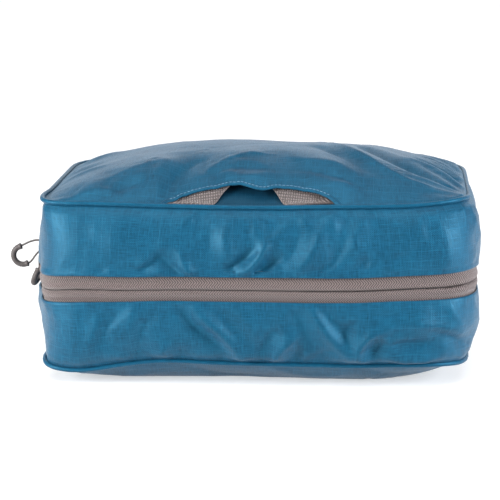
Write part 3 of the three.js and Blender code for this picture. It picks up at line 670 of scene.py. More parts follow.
FRONT_LOWER = [
    ([(-36, 53), (-29, 45), (-21, 38), (-13, 29), (-8, 19)], 2.0, 4.5),
    ([(-42, 50), (-36, 42), (-27, 33), (-18, 24)], -1.8, 5), ([(-22, 50), (-14, 40), (-5, 30)], -0.9, 5),
    ([(-92, 44), (-98, 35), (-104, 26)], 1.1, 5), ([(-80, 46), (-88, 38), (-92, 28)], -1.3, 6),
    ([(-66, 50), (-72, 40), (-74, 28)], 0.8, 7), ([(-108, 50), (-110, 36), (-108, 22)], 0.4, 8),
    ([(31, 53), (39, 42), (47, 31), (56, 21)], 1.9, 4.5), ([(40, 50), (49, 38), (56, 28)], -1.6, 4),
    ([(22, 50), (28, 40), (34, 28)], -1.0, 5), ([(12, 16), (17, 26), (25, 34)], 1.7, 4),
    ([(4, 20), (8, 30), (14, 38)], -1.1, 5), ([(24, 17), (27, 25)], -1.1, 4),
    ([(76, 38), (67, 34), (62, 27), (62, 21), (67, 17)], 2.1, 4), ([(73, 31), (69, 26), (70, 21)], -1.7, 4),
    ([(80, 28), (92, 27), (104, 28)], -2.4, 5.5), ([(79, 20), (95, 18), (110, 21)], 1.4, 5),
    ([(78, 41), (94, 41), (108, 39), (122, 33)], 1.7, 4.5), ([(106, 36), (118, 31), (128, 25)], -2.0, 4),
    ([(92, 52), (96, 46)], 0.7, 5), ([(56, 50), (60, 44)], 0.6, 5),
    ([(112, 52), (118, 44), (122, 38)], 1.0, 5),
    ([(-56, 18), (-50, 27)], 1.0, 4), ([(-44, 17), (-42, 24)], -0.8, 4), ([(-70, 17), (-66, 24)], -0.7, 4),
    ([(38, 17), (42, 24)], -0.8, 4), ([(0, 17), (-2, 24)], 0.8, 4),
    ([(-64, 52), (-78, 42), (-94, 30)], 0.5, 5), ([(-54, 48), (-64, 38), (-66, 26)], -0.9, 4),
    ([(-10, 50), (-2, 42), (2, 32)], 0.9, 4), ([(20, 52), (16, 42), (20, 34)], 0.8, 3.5),
    ([(60, 46), (54, 38), (50, 32)], -0.9, 3.5), ([(66, 48), (76, 46), (88, 48)], -0.7, 4),
]
# On the right wall and the left wall the points are (distance back from the front corner, z).
RIGHT_WALL = [
    ([(2, 110), (10, 98), (22, 88)], 1.6, 5), ([(8, 112), (20, 104), (34, 99)], 1.2, 4),
    ([(4, 92), (12, 82), (10, 72)], -1.6, 5), ([(30, 84), (44, 76), (58, 72)], 1.2, 5),
    ([(60, 108), (66, 94), (80, 84)], -1.1, 6), ([(96, 110), (104, 96), (100, 80)], 1.2, 6),
    ([(130, 108), (122, 92), (128, 76)], -1.2, 6), ([(156, 110), (150, 94), (158, 80)], 1.2, 5),
    ([(4, 50), (14, 40), (30, 32)], 1.3, 5), ([(2, 30), (14, 26), (26, 18)], -1.5, 5),
    ([(44, 52), (50, 38), (44, 24)], 1.1, 6), ([(76, 50), (88, 40), (96, 26)], -1.3, 6),
    ([(110, 52), (118, 38), (114, 22)], 1.2, 6), ([(146, 50), (152, 36), (166, 24)], -1.2, 6),
]
LEFT_WALL = [
    ([(4, 108), (14, 96), (24, 84)], 1.2, 6), ([(30, 110), (38, 96), (34, 82)], -1.1, 6),
    ([(62, 74), (72, 86), (88, 96)], 1.2, 5), ([(92, 110), (100, 98), (96, 82)], -1.1, 6),
    ([(128, 108), (134, 92), (146, 78)], 1.2, 6), ([(158, 108), (152, 94), (160, 76)], -1.0, 6),
    ([(6, 50), (16, 38), (14, 24)], -1.1, 6), ([(36, 52), (46, 40), (60, 30)], 1.3, 5),
    ([(78, 50), (82, 36), (74, 22)], -1.1, 6), ([(104, 48), (116, 36), (132, 24)], 1.2, 5),
    ([(148, 50), (156, 36), (152, 20)], -1.1, 6),
]
# On the back wall the points are (x, z).
BACK_WALL = [
    ([(-100, 108), (-88, 90), (-92, 66), (-98, 42), (-90, 22)], 1.4, 8),
    ([(-64, 110), (-58, 92), (-66, 72)], -1.2, 7),
    ([(-30, 106), (-22, 84), (-30, 58)], 1.3, 8), ([(6, 110), (12, 94), (2, 76)], -1.3, 7),
    ([(40, 104), (46, 82), (38, 58), (44, 34)], 1.4, 8), ([(78, 110), (72, 92), (80, 70)], -1.2, 7),
    ([(104, 106), (98, 84), (104, 60)], 1.2, 7), ([(-70, 46), (-56, 32), (-60, 18)], -1.3, 7),
    ([(-34, 44), (-20, 28), (-10, 18)], 1.3, 6), ([(10, 48), (16, 32), (8, 18)], -1.2, 7),
    ([(66, 46), (76, 30), (70, 18)], 1.2, 7), ([(96, 44), (104, 28)], -1.1, 6),
    ([(-108, 60), (-60, 57), (0, 61), (60, 57), (108, 60)], -1.0, 5),
]
# On the top the points are (x, y).
TOP_FOLDS = [
    ([(-112, -84), (-96, -70), (-78, -56), (-62, -48), (-50, -50)], 2.2, 12),
    ([(-92, -86), (-80, -76), (-68, -70)], -1.6, 8), ([(-104, -82), (-92, -80), (-82, -86)], 1.2, 5),
    ([(-50, -84), (-50, -68), (-44, -54), (-34, -44)], -2.6, 9),
    ([(-60, -80), (-62, -66), (-58, -54)], 1.5, 6), ([(-34, -64), (-22, -52), (-6, -42), (10, -42)], 2.4, 10),
    ([(-28, -66), (-10, -60), (8, -64)], -2.2, 9), ([(20, -46), (34, -52), (50, -54), (66, -66)], 2.0, 9),
    ([(26, -64), (42, -66), (58, -72), (70, -80)], -2.0, 8),
    ([(38, 10), (52, -16), (68, -40), (88, -60), (108, -68), (124, -70)], 2.2, 7),
    ([(56, 8), (72, -18), (88, -38), (108, -52), (124, -56)], -2.2, 8),
    ([(28, -8), (44, -30), (60, -50), (78, -66)], -1.6, 8),
    ([(126, -40), (112, -26), (96, -20)], 1.5, 5), ([(127, -22), (116, -8), (102, 2)], -1.5, 5),
    ([(127, -6), (116, 8), (104, 20)], 1.5, 4), ([(127, 14), (116, 26), (106, 36)], -1.5, 4),
    ([(127, 34), (118, 44), (106, 50)], 1.4, 4), ([(126, 52), (114, 58), (98, 60)], -1.4, 5),
    ([(126, 70), (110, 70), (92, 66)], 1.4, 5), ([(-126, 40), (-112, 30), (-96, 26)], 1.3, 6),
    ([(-127, 0), (-112, 4), (-98, 0)], -1.2, 7), ([(-126, -40), (-112, -34), (-96, -36)], 1.2, 7),
    ([(-40, 86), (-34, 66), (-20, 48)], 1.5, 8), ([(20, 86), (24, 66), (14, 44)], -1.4, 8),
    ([(70, 86), (64, 66), (74, 46)], 1.4, 8), ([(-90, 84), (-84, 64), (-92, 48)], -1.3, 8),
    ([(-70, 30), (-40, 14), (-6, 20), (24, 8)], 0.3, 12),
    ([(-60, -6), (-30, -20), (0, -12), (26, -24)], -1.2, 11),
]
BOTTOM_FOLDS = [
    ([(-110, -84), (-84, -74), (-60, -78)], 1.2, 6), ([(-40, -86), (-20, -72), (4, -70)], -1.2, 6),
    ([(14, -84), (34, -76), (60, -80)], 1.2, 6), ([(70, -86), (90, -74), (112, -72)], -1.2, 6),
    ([(-120, 40), (-100, 20), (-96, -10)], 1.0, 8), ([(120, 40), (100, 14), (98, -20)], 1.0, 8),
    ([(-60, 84), (-30, 74), (0, 80), (40, 72), (80, 82)], 1.2, 7),
]


CREST = 0.06  # how round the top of a fold is, as a share of its half width squared
FRONT_GAIN = 2.4  # the drawn folds are made this much higher
TOP_GAIN = 2.1
BOTTOM_GAIN = 1.2
ROUND_CORNER = 6 * MM  # folds run on this far past the end of their wall
SEAM_PUCKER = 0.9 * MM
ZIP_PUCKER = 0.6 * MM
RIM_PUCKER = 0.6 * MM
WALL_CRUMPLE = 0.75 * MM
TOP_CRUMPLE = 0.55 * MM
BOTTOM_CRUMPLE = 0.35 * MM
SEAM_GROOVE = 1.5 * MM  # the cloth dips beside the piping
EDGE_PROUD = (1.1 * MM, 0.5 * MM)  # it stands up beside the tape: on the front, and at the sides


def fold_shape(a, b, knots, width):
    """A rounded ridge of height 1 along the line through knots, dying out at both ends."""
    line = curve_points([(*k, 0) for k in knots], 5)[:, :2] * MM
    taper = np.sin(np.pi * np.linspace(0.1, 0.9, len(line))) ** 0.6
    best = np.zeros(a.shape)
    near = (a > line[:, 0].min() - 3 * width) & (a < line[:, 0].max() + 3 * width)
    near &= (b > line[:, 1].min() - 3 * width) & (b < line[:, 1].max() + 3 * width)
    near_a, near_b = a[near], b[near]
    for start, end, first, last in zip(line[:-1], line[1:], taper[:-1], taper[1:]):
        step = end - start
        along = ((near_a - start[0]) * step[0] + (near_b - start[1]) * step[1]) / np.dot(step, step)
        along = np.clip(along, 0, 1)
        off_a = near_a - start[0] - along * step[0]
        off_b = near_b - start[1] - along * step[1]
        distance = (off_a ** 2 + off_b ** 2) / width ** 2
        ridge = mix(first, last, along) * np.exp(CREST ** 0.6 - (distance + CREST) ** 0.6)
        best[near] = np.maximum(best[near], ridge)
    return best


def folds(a, b, drawn):
    """All the drawn folds together, as a height over the two ways along the cloth."""
    return sum(height * MM * fold_shape(a, b, knots, width * MM) for knots, height, width in drawn)


def ripple(s, waves, seed):
    """Uneven puckers along a seam, -1 to 1."""
    dice = np.random.default_rng(seed)
    total = np.zeros(s.shape)
    for wave in waves:
        phase, slow = dice.uniform(0, 2 * np.pi, 2)
        strength = 0.55 + 0.45 * np.sin(2 * np.pi * s / (wave * 7.3 * MM) + slow)
        total += strength * np.sin(2 * np.pi * s / (wave * MM) + phase)
    return total / len(waves)


def crumple(a, b, waves, seed):
    """Soft creases in every direction, about -1 to 1."""
    dice = np.random.default_rng(seed)
    total = np.zeros(a.shape)
    for wave in waves:
        turn, phase, bend_phase = dice.uniform(0, 2 * np.pi, 3)
        forward = a * np.cos(turn) + b * np.sin(turn)
        sideways = b * np.cos(turn) - a * np.sin(turn)
        bend = 0.35 * wave * MM * np.sin(2 * np.pi * sideways / (wave * 2.1 * MM) + bend_phase)
        crease = 1 - 2 * np.abs(np.sin(np.pi * (forward + bend) / (wave * MM) + phase)) ** 0.8
        total += crease * (0.6 + 0.4 * np.sin(2 * np.pi * sideways / (wave * 3.3 * MM) + phase))
    return total / len(waves)


def wall_relief(net, fine):
    """How far each wall point stands out of the smooth shape. The small creases are only for a fine net."""
    s, z = np.meshgrid(net.s, net.heights)
    side = 2 * HALF_DEPTH
    right, left = s - HALF_WIDTH, -s - HALF_WIDTH
    back_x = np.where(s > 0, 2 * HALF_WIDTH + side - s, -(2 * HALF_WIDTH + side + s))
    on_front = np.abs(s) < HALF_WIDTH + 2 * ROUND_CORNER
    on_right = (right > -ROUND_CORNER) & (right < side + ROUND_CORNER)
    on_left = (left > -ROUND_CORNER) & (left < side + ROUND_CORNER)
    on_back = np.abs(s) > HALF_WIDTH + side - ROUND_CORNER
    relief = np.where(on_front, FRONT_GAIN * folds(s, z, FRONT_UPPER + FRONT_LOWER), 0)
    relief = relief + np.where(on_right, folds(right, z, RIGHT_WALL), 0)
    relief = relief + np.where(on_left, folds(left, z, LEFT_WALL), 0)
    relief = relief + np.where(on_back, folds(back_x, z, BACK_WALL), 0)
    away_zip = np.maximum(np.abs(z - Z_ZIP) - TAPE_EDGE, 0)
    away_seam = np.maximum(np.minimum(z - Z_LOW, Z_HIGH - z), 0)
    if fine:
        upper = z > Z_ZIP
        for part, seed in ((upper, 3), (~upper, 4)):
            near_seam = SEAM_PUCKER * ripple(s, (9, 14, 23), seed) * np.exp(-away_seam / (6 * MM))
            near_zip = ZIP_PUCKER * ripple(s, (8, 13, 21), seed + 10) * np.exp(-away_zip / (5 * MM))
            relief = relief + np.where(part, near_seam + near_zip, 0)
        relief = relief + WALL_CRUMPLE * crumple(s, z, (17, 25, 34, 46), 21)
    back = np.abs(s) > net.loop / 2 - SEAM_X
    away_tape = np.where(np.abs(z - Z_ZIP) < TAPE_EDGE, 0, away_zip)
    away = np.where(back, away_seam, np.minimum(away_seam, away_tape))
    relief = relief * smooth(0, 4 * MM, away)
    if fine:
        relief = relief - SEAM_GROOVE * np.exp(-((away_seam / MM - 2.3) / 1.2) ** 2)
        beside = (np.abs(z - Z_ZIP) > TAPE_EDGE - 0.1 * MM) & ~back
        proud = mix(*EDGE_PROUD, smooth(HALF_WIDTH - 25 * MM, HALF_WIDTH - 5 * MM, np.abs(s)))
        relief = relief + np.where(beside, proud * np.exp(-away_zip / (2.6 * MM)), 0)
    return relief


def sheet_relief(sheet, drawn, gain, seed=0, size=0.0):
    """How far each point of the top or the bottom stands out. The small creases come with a size."""
    x, y = sheet[..., 0], sheet[..., 1]
    away = np.minimum(HALF_WIDTH - np.abs(x), HALF_DEPTH - np.abs(y))
    relief = gain * folds(x, y, drawn)
    if size:
        rim = np.where(HALF_WIDTH - np.abs(x) < HALF_DEPTH - np.abs(y), y, x)
        relief = relief + RIM_PUCKER * ripple(rim, (10, 16, 25), seed) * np.exp(-away / (7 * MM))
        relief = relief + size * crumple(x, y, (26, 38, 55, 70), seed + 1)
    return relief * smooth(0, 5 * MM, away)


# ---------------------------------------------------------------- the cloth settles over its filling
def settle(net, wall, bottom, top):
    """Runs Blender's cloth on the closed cube, ten times life size, held at piping and zip.

    Returns how far each point of wall, bottom and top has moved.
    """
    big = 10.0
    frames = 14
    furthest = 5 * MM
    start = np.concatenate([bottom.reshape(-1, 3), top.reshape(-1, 3), wall[1:-1].reshape(-1, 3)])
    rim = net.rim_places()
    rings = [rim] + [2 * net.size + k * net.round + np.arange(net.round) for k in range(len(wall) - 2)]
    rings.append(net.size + rim)
    faces = grid_faces(net.rows, net.columns, flip=True)
    faces += [tuple(net.size + i for i in f) for f in grid_faces(net.rows, net.columns)]
    for low, high in zip(rings[:-1], rings[1:]):
        faces += [tuple(map(int, f)) for f in zip(low, np.roll(low, -1), np.roll(high, -1), high)]
    held = [k for k, z in enumerate(net.heights)
            if abs(z - Z_ZIP) <= TAPE_EDGE + 0.1 * MM or k in (0, len(net.heights) - 1)]
    mesh = bpy.data.meshes.new("cloth_run")
    mesh.from_pydata((start * big).tolist(), [], faces)
    run = bpy.data.objects.new("cloth_run", mesh)
    bpy.context.scene.collection.objects.link(run)
    hold = run.vertex_groups.new(name="hold")
    hold.add(np.unique(np.concatenate([rings[k] for k in held])).tolist(), 1.0, "REPLACE")
    cloth = run.modifiers.new("cloth", "CLOTH")
    cloth.point_cache.frame_start = 1
    cloth.point_cache.frame_end = frames
    settings = cloth.settings
    settings.quality = 5
    settings.mass = 0.15
    settings.air_damping = 2.0
    settings.tension_stiffness = 30
    settings.compression_stiffness = 30
    settings.shear_stiffness = 10
    settings.bending_stiffness = 0.5
    settings.effector_weights.gravity = 0.0
    settings.use_pressure = True
    settings.uniform_pressure_force = 1.6
    settings.vertex_group_mass = "hold"
    cloth.collision_settings.use_self_collision = False
    cloth.collision_settings.use_collision = False
    scene = bpy.context.scene
    scene.frame_start, scene.frame_end = 1, frames
    for number in range(1, frames + 1):
        scene.frame_set(number)
    settled = run.evaluated_get(bpy.context.evaluated_depsgraph_get())
    out = np.empty(len(start) * 3, np.float32)
    settled.data.vertices.foreach_get("co", out)
    bpy.data.objects.remove(run)
    bpy.data.meshes.remove(mesh)
    scene.frame_set(1)
    moved = out.reshape(-1, 3) / big - start
    length = np.linalg.norm(moved, axis=1, keepdims=True)
    moved *= np.minimum(1, furthest / np.maximum(length, 1e-9))
    moved_wall = np.zeros_like(wall)
    moved_wall[1:-1] = moved[2 * net.size:].reshape(len(wall) - 2, net.round, 3)
    return moved_wall, moved[:net.size].reshape(bottom.shape), moved[net.size:2 * net.size].reshape(top.shape)


def resample(field, rows, columns):
    """A grid read at fractional places: rows and columns run from 0 to 1."""
    for axis, places in ((0, rows), (1, columns)):
        count = field.shape[axis]
        at = np.clip(places * (count - 1), 0, count - 1)
        low = np.minimum(at.astype(int), count - 2)
        share = (at - low).reshape([-1 if k == axis else 1 for k in range(3)])
        field = np.take(field, low, axis) * (1 - share) + np.take(field, low + 1, axis) * share
    return field


def ring_places(net):
    """Each ring point's place round the cube: a quarter for each side."""
    counts = (net.columns - 1, net.rows - 1) * 2
    return np.concatenate([side + np.arange(n) / n for side, n in enumerate(counts)]) / 4


def make_cloth():
    """The wall, bottom and top on the fine net, with folds and the settled shape."""
    fine = Net(1.7 * MM)
    wall = fine.wall()
    bottom, top = fine.sheets()
    coarse = Net(4.2 * MM)
    start = coarse.wall()
    low, high = coarse.sheets()
    start = start + wall_relief(coarse, False)[..., None] * normals_of(start, wrap=True)
    high = high + sheet_relief(high, TOP_FOLDS, TOP_GAIN)[..., None] * normals_of(high)
    moved_wall, moved_low, moved_high = settle(coarse, start, low, high)
    index = np.linspace(0, 1, len(coarse.heights))
    rows = np.interp(fine.heights, coarse.heights, index)
    closed = np.concatenate([moved_wall, moved_wall[:, :1]], 1)
    coarse_places = np.append(ring_places(coarse), 1.0)
    columns = np.interp(ring_places(fine), coarse_places, np.linspace(0, 1, len(coarse_places)))
    wall = wall + resample(closed, rows, columns)
    share_rows, share_columns = np.linspace(0, 1, fine.rows), np.linspace(0, 1, fine.columns)
    bottom = bottom + resample(moved_low, share_rows, share_columns)
    top = top + resample(moved_high, share_rows, share_columns)
    wall = wall + wall_relief(fine, True)[..., None] * normals_of(wall, wrap=True)
    top = top + sheet_relief(top, TOP_FOLDS, TOP_GAIN, 31, TOP_CRUMPLE)[..., None] * normals_of(top)
    relief = sheet_relief(bottom, BOTTOM_FOLDS, BOTTOM_GAIN, 41, BOTTOM_CRUMPLE)
    bottom = bottom - relief[..., None] * normals_of(bottom)
    bottom[..., 2] = np.maximum(bottom[..., 2], 0.0)
    return fine, wall, bottom, top


net, wall, bottom, top = make_cloth()
CLOTH = 0.45 * MM
s_max = net.loop / 2
seam_s = s_max - SEAM_X
order = np.argsort(net.s)
walk_s = net.s[order]
wall_in_order = wall[:, order]
row_steps = np.linalg.norm(np.diff(wall_in_order, axis=0), axis=2).mean(1)
row_height = np.concatenate([[0], np.cumsum(row_steps)])


def wall_piece(name, first, last, zip_at_top):
    """The front and both sides between two rows of the wall, with the edge at the zip turned under."""
    points = wall_in_order[first:last + 1][:, gusset_keep]
    points, v = turn_under(points, row_height[first:last + 1, None], zip_at_top)
    u = np.broadcast_to(walk_s[gusset_keep], points.shape[:2])
    v = np.broadcast_to(v, points.shape[:2])
    return grid_piece(name, points, np.stack([u, v], 2), shell, CLOTH)


def turn_under(points, v, at_top):
    """Turns the cloth's zip-side edge under: a rounded edge and 3 mm of turning behind it."""
    edge = points[-1] if at_top else points[0]
    inwards = -outwards_of(edge) * MM
    past_edge = np.array([0, 0, MM if at_top else -MM])
    turned = [edge + inwards * inward + past_edge * past
              for inward, past in ((0.35, 0.6), (0.95, 0.85), (1.5, 0.5), (1.7, -3.0))]
    steps = np.array([0.7, 1.35, 2.0, 5.5]) * MM
    if at_top:
        extra = v[-1] + steps[:, None]
        return np.concatenate([points, turned]), np.concatenate([v, extra])
    extra = v[0] - steps[::-1, None]
    return np.concatenate([turned[::-1], points]), np.concatenate([extra, v])


row_low = int(np.argmin(np.abs(net.heights - (Z_ZIP - TAPE_EDGE))))
row_high = int(np.argmin(np.abs(net.heights - (Z_ZIP + TAPE_EDGE))))
last_row = len(net.heights) - 1
left_seam = int(np.argmin(np.abs(walk_s + seam_s)))
right_seam = int(np.argmin(np.abs(walk_s - seam_s)))
gusset_keep = np.arange(left_seam, right_seam + 1)
lower_wall = put_on(wall_piece("lower_wall", 0, row_low, zip_at_top=True), "base", "lower_gusset")
upper_wall = put_on(wall_piece("upper_wall", row_high, last_row, zip_at_top=False), "lid", "upper_gusset")


def make_back():
    """One panel from bottom to top, across the hinge."""
    keep = np.concatenate([np.arange(right_seam, len(walk_s)), np.arange(left_seam + 1)])
    points = wall_in_order[:, keep]
    u = np.where(walk_s[keep] > 0, walk_s[keep], walk_s[keep] + net.loop)
    u, v = np.meshgrid(u, row_height)
    return grid_piece("back_wall", points, np.stack([u, v], 2), shell, CLOTH)


back_wall = make_back()
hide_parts("lower_back_panel", "upper_back_panel")
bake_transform(back_wall)


# ---------------------------------------------------------------- bottom and top
def flat_uvs(points):
    return points[..., :2].copy()


OFF_FLOOR = np.array([0, 0, 0.02 * MM])
bottom_skin = grid_piece("bottom_skin", bottom + OFF_FLOOR, flat_uvs(bottom), shell, CLOTH, flip=True)
put_on(bottom_skin, "base", "bottom_panel")

SLOT_LEFT, SLOT_RIGHT = -55.5 * MM, 50.5 * MM
SLOT_DEPTH = 13.8 * MM
SLOT_DIP = (3 * MM, 3.2 * MM, 9 * MM)  # the edge's dip between its two humps: place, depth, half width
SLOT_ROWS = 26  # rows of the top's net that are drawn back behind the slot


def slot_reach(x):
    """How far the slot's edge stands behind the front seam."""
    centre, half = (SLOT_LEFT + SLOT_RIGHT) / 2, (SLOT_RIGHT - SLOT_LEFT) / 2
    share = np.clip(1 - ((x - centre) / half) ** 2, 0, 1)
    place, depth, width = SLOT_DIP
    steepness = np.where(x < centre, 0.45, 0.6)
    return SLOT_DEPTH * share ** steepness - depth * np.exp(-((x - place) / width) ** 2)


def make_top():
    """The top skin, with its front rows drawn back to leave the slot, and lifted a little there."""
    opened = top.copy()
    front = top[0, :, 1]
    place = np.arange(SLOT_ROWS) / SLOT_ROWS
    pucker_rise = ripple(top[0, :, 0], (6, 9, 14), 77)
    for i in range(net.columns):
        reach = slot_reach(top[0, i, 0]) if SLOT_LEFT < top[0, i, 0] < SLOT_RIGHT else 0
        if reach <= 0:
            continue
        last = top[SLOT_ROWS, i, 1]
        wanted = front[i] + reach + (last - front[i] - reach) * place
        line = top[:, i]
        for axis in (0, 2):
            opened[:SLOT_ROWS, i, axis] = np.interp(wanted, line[:, 1], line[:, axis])
        opened[:SLOT_ROWS, i, 1] = wanted
        pucker = 0.2 + 0.5 * pucker_rise[i]
        lift = pucker * MM * min(reach / SLOT_DEPTH, 1) * (1 - smooth(0, 1, place)) ** 1.5
        opened[:SLOT_ROWS, i, 2] += lift
    return opened


opened = make_top()
top_skin = grid_piece("top_skin", opened, flat_uvs(opened), shell, CLOTH)
put_on(top_skin, "lid", "top_panel", "handle_flap")

slot_columns = [i for i in range(net.columns) if SLOT_LEFT < top[0, i, 0] < SLOT_RIGHT]
slot_columns = [slot_columns[0] - 1] + slot_columns + [slot_columns[-1] + 1]
slot_edge = opened[0, slot_columns]
behind_edge = opened[3, slot_columns]


def resample_line(points, step):
    """The same line with its points an even step apart."""
    travel = travel_along(points)
    at = np.linspace(0, travel[-1], max(2, int(travel[-1] / step)) + 1)
    return read_line(at, travel, points)


def make_hem():
    """The slot's edge, turned under and stitched: a flattened roll with a row of stitches."""
    step = 1.2 * MM
    line = resample_line(slot_edge, step)
    back = resample_line(behind_edge, step)
    back = read_line(np.linspace(0, 1, len(line)), np.linspace(0, 1, len(back)), back)
    tangents = unit(np.gradient(line, axis=0))
    sides = unit(back - line)
    sides = unit(sides - tangents * (sides * tangents).sum(1, keepdims=True))
    ups = np.cross(tangents, sides)
    ups *= np.sign(ups[:, 2:])
    puff = 1 + 0.12 * ripple(np.arange(len(line)) * step, (7, 11), 5)
    section = [(-0.75, 0.0), (-0.6, 0.5), (0.0, 0.75), (0.9, 0.72), (1.7, 0.55), (2.1, 0.25), (2.1, -0.4),
               (1.0, -0.75), (0.0, -0.75), (-0.6, -0.5)]
    hem = sweep("slot_binding", line, sides, ups, np.array(section) * MM, shell, scale=puff)
    put_on(hem, "lid", "slot_hem")
    stitch_line = line + sides * 1.35 * MM + ups * 0.66 * MM
    stitches = stitch_row("slot_stitches", stitch_line, ups, 2.4 * MM, 1.6 * MM, thread)
    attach(stitches, "lid")
    return hem, stitches


def stitch_row(name, line, ups, pitch, length, material):
    """A row of small rounded stitches along a line, begun and ended a little way in."""
    travel = travel_along(line)
    points, faces, uvs = [], [], []
    ring = circle(0.22 * MM, 6)
    shares = np.array([-0.5, -0.38, -0.15, 0.15, 0.38, 0.5])
    widths = np.array([0.15, 0.8, 1.0, 1.0, 0.8, 0.15])
    for start in np.arange(4 * pitch, travel[-1] - 4 * pitch, pitch):
        at = start + shares * length
        centres = read_line(at, travel, line)
        up = read_line(at, travel, ups)
        tangent = unit(np.gradient(centres, axis=0))
        side = unit(np.cross(tangent, up))
        first = len(points)
        for c, t, n, w in zip(centres, side, up, widths):
            for a, b in ring * w:
                points.append(c + t * a + n * b)
                uvs.append((b, a))
        for i in range(len(at) - 1):
            for j in range(6):
                k = (j + 1) % 6
                faces.append(tuple(first + i * 6 + n for n in (j, k, 6 + k, 6 + j)))
        faces.append(tuple(first + j for j in reversed(range(6))))
        faces.append(tuple(first + (len(at) - 1) * 6 + j for j in range(6)))
    piece = new_piece(name, points, faces, uvs, material)
    face_outwards(piece)
    return piece


slot_binding, slot_stitches = make_hem()

# ---------------------------------------------------------------- handle and the pocket behind it
strap_low, strap_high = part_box("handle_webbing")
STRAP_THICKNESS = 1.3 * MM
STRAP_FOOT = strap_low.y
LEG_LEAN = math.radians(38)
LEG_HALF = strap_high.x - 12.4 * MM  # half the distance between the middles of the two feet
STRAP_SHIFT = -3.6 * MM  # the handle sits a little left of the middle
LEG_REACH = 25 * MM
STRAP_UNDER_SKIN = 2.1 * MM
FOOT_UNDER_SKIN = 0.8 * MM


def skin_height(x, y):
    """The top skin's height over plan places, before its slot was opened."""
    column = np.clip((x / HALF_WIDTH + 1) / 2 * (net.columns - 1), 0, net.columns - 1.001)
    row = np.clip((y / HALF_DEPTH + 1) / 2 * (net.rows - 1), 0, net.rows - 1.001)
    i, j = column.astype(int), row.astype(int)
    a, b = column - i, row - j
    z = top[..., 2]
    return (z[j, i] * (1 - a) + z[j, i + 1] * a) * (1 - b) + (z[j + 1, i] * (1 - a) + z[j + 1, i + 1] * a) * b


def strap_line():
    """Centre line of the handle in plan: two leaning legs and the round bend between them."""
    end_x = LEG_HALF - LEG_REACH * math.tan(LEG_LEAN)
    radius = end_x / math.cos(LEG_LEAN)
    bend_y = LEG_REACH - radius * math.sin(LEG_LEAN)
    leg = [(mix(LEG_HALF, end_x, t), LEG_REACH * t) for t in np.linspace(0, 1, 22)[:-1]]
    turns = np.linspace(LEG_LEAN, math.pi - LEG_LEAN, 40)
    bend = [(radius * math.cos(t), bend_y + radius * math.sin(t)) for t in turns]
    return np.array(leg + bend + [(-x, y) for x, y in reversed(leg)])


def make_strap():
    """The handle: flat webbing just under the top, its two ends cut off along the seam."""
    line = strap_line()
    tangents = unit(np.gradient(line, axis=0))
    tangents[:2] = [-math.sin(LEG_LEAN), math.cos(LEG_LEAN)]
    tangents[-2:] = [-math.sin(LEG_LEAN), -math.cos(LEG_LEAN)]
    outward = np.stack([tangents[:, 1], -tangents[:, 0]], 1)
    shares = np.linspace(-0.5, 0.5, 11)
    travel = travel_along(line)
    points = np.zeros((len(line), len(shares), 3))
    uvs = np.zeros((len(line), len(shares), 2))
    for j, share in enumerate(shares):
        x = line[:, 0] + outward[:, 0] * share * STRAP_WIDTH
        y = line[:, 1] + outward[:, 1] * share * STRAP_WIDTH
        x, y = square_foot(x, y, tangents)
        crown = 0.5 * MM * (1 - (2 * share) ** 2)
        x = x + STRAP_SHIFT
        skin = skin_height(x, STRAP_FOOT + y) - STRAP_UNDER_SKIN
        foot = skin_height(x, STRAP_FOOT + 0 * y) - FOOT_UNDER_SKIN
        z = mix(foot, skin, smooth(0, 9 * MM, y)) + crown
        points[:, j] = np.stack([x, STRAP_FOOT + y, z], 1)
        uvs[:, j] = np.stack([travel, np.full(len(line), share * STRAP_WIDTH)], 1)
    return grid_piece("handle_strap", points, uvs, strap_cloth, STRAP_THICKNESS)


def square_foot(x, y, tangents):
    """Cuts both legs off along the seam: points in front of it slide back, and the ends slide onto it."""
    leg = np.abs(tangents[:, 1]) > 0.3
    past = np.where(leg, np.minimum(y, 0), 0)
    past[[0, -1]] = y[[0, -1]]
    slide = past / np.where(leg, tangents[:, 1], 1)
    return x - tangents[:, 0] * slide, y - past


put_on(make_strap(), "handle", "handle_webbing")


def make_pocket():
    """The pocket's floor, under the handle, sewn down along its edges."""
    low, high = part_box("handle_backing_panel")
    x, share = np.meshgrid(np.linspace(low.x, high.x, 61), np.linspace(0, 1, 41))
    y = mix(low.y, high.y, share)
    across = np.clip(1 - (x / high.x) ** 2, 0, 1)
    sag = 3.4 * MM * across ** 0.5 * np.sin(np.pi * np.clip(share * 1.02, 0, 1)) ** 0.6
    front = np.clip(1 - share * 6, 0, 1) * 0.8 * MM
    under_strap = 3.6 * MM
    z = skin_height(x, y) - under_strap - sag + front
    z += 0.35 * MM * crumple(x, y, (14, 21, 30), 51)
    points = np.stack([x, y, z], 2)
    return grid_piece("pocket_floor", points, flat_uvs(points), lining, CLOTH)


pocket_floor = put_on(make_pocket(), "lid", "handle_backing_panel")


# ---------------------------------------------------------------- piping and seam bindings
def ring_line(row):
    """A closed seam line and its outward directions."""
    line = wall_in_order[row]
    ahead = np.roll(line, -1, 0) - np.roll(line, 1, 0)
    outwards = unit(np.cross(ahead, [0, 0, 1.0]))
    return line, outwards


def make_piping(level, row, body):
    """A tube of cloth over a filler cord, all round a seam."""
    line, outwards = ring_line(row)
    line = line + outwards * 0.45 * MM
    ups = np.broadcast_to([0, 0, 1.0], line.shape)
    puckers = 1 + 0.06 * ripple(walk_s, (5, 8, 13), 61 + row)
    tube = sweep(f"{level}_piping_tube", line, outwards, ups, circle(1.55 * MM), piping_cloth,
                 closed=True, scale=puckers)
    put_on(tube, body, f"{level}_piping")
    core = sweep(f"{level}_piping_core", line, outwards, ups, circle(0.7 * MM, 6), filler, closed=True)
    put_on(core, body, f"{level}_piping_cord")


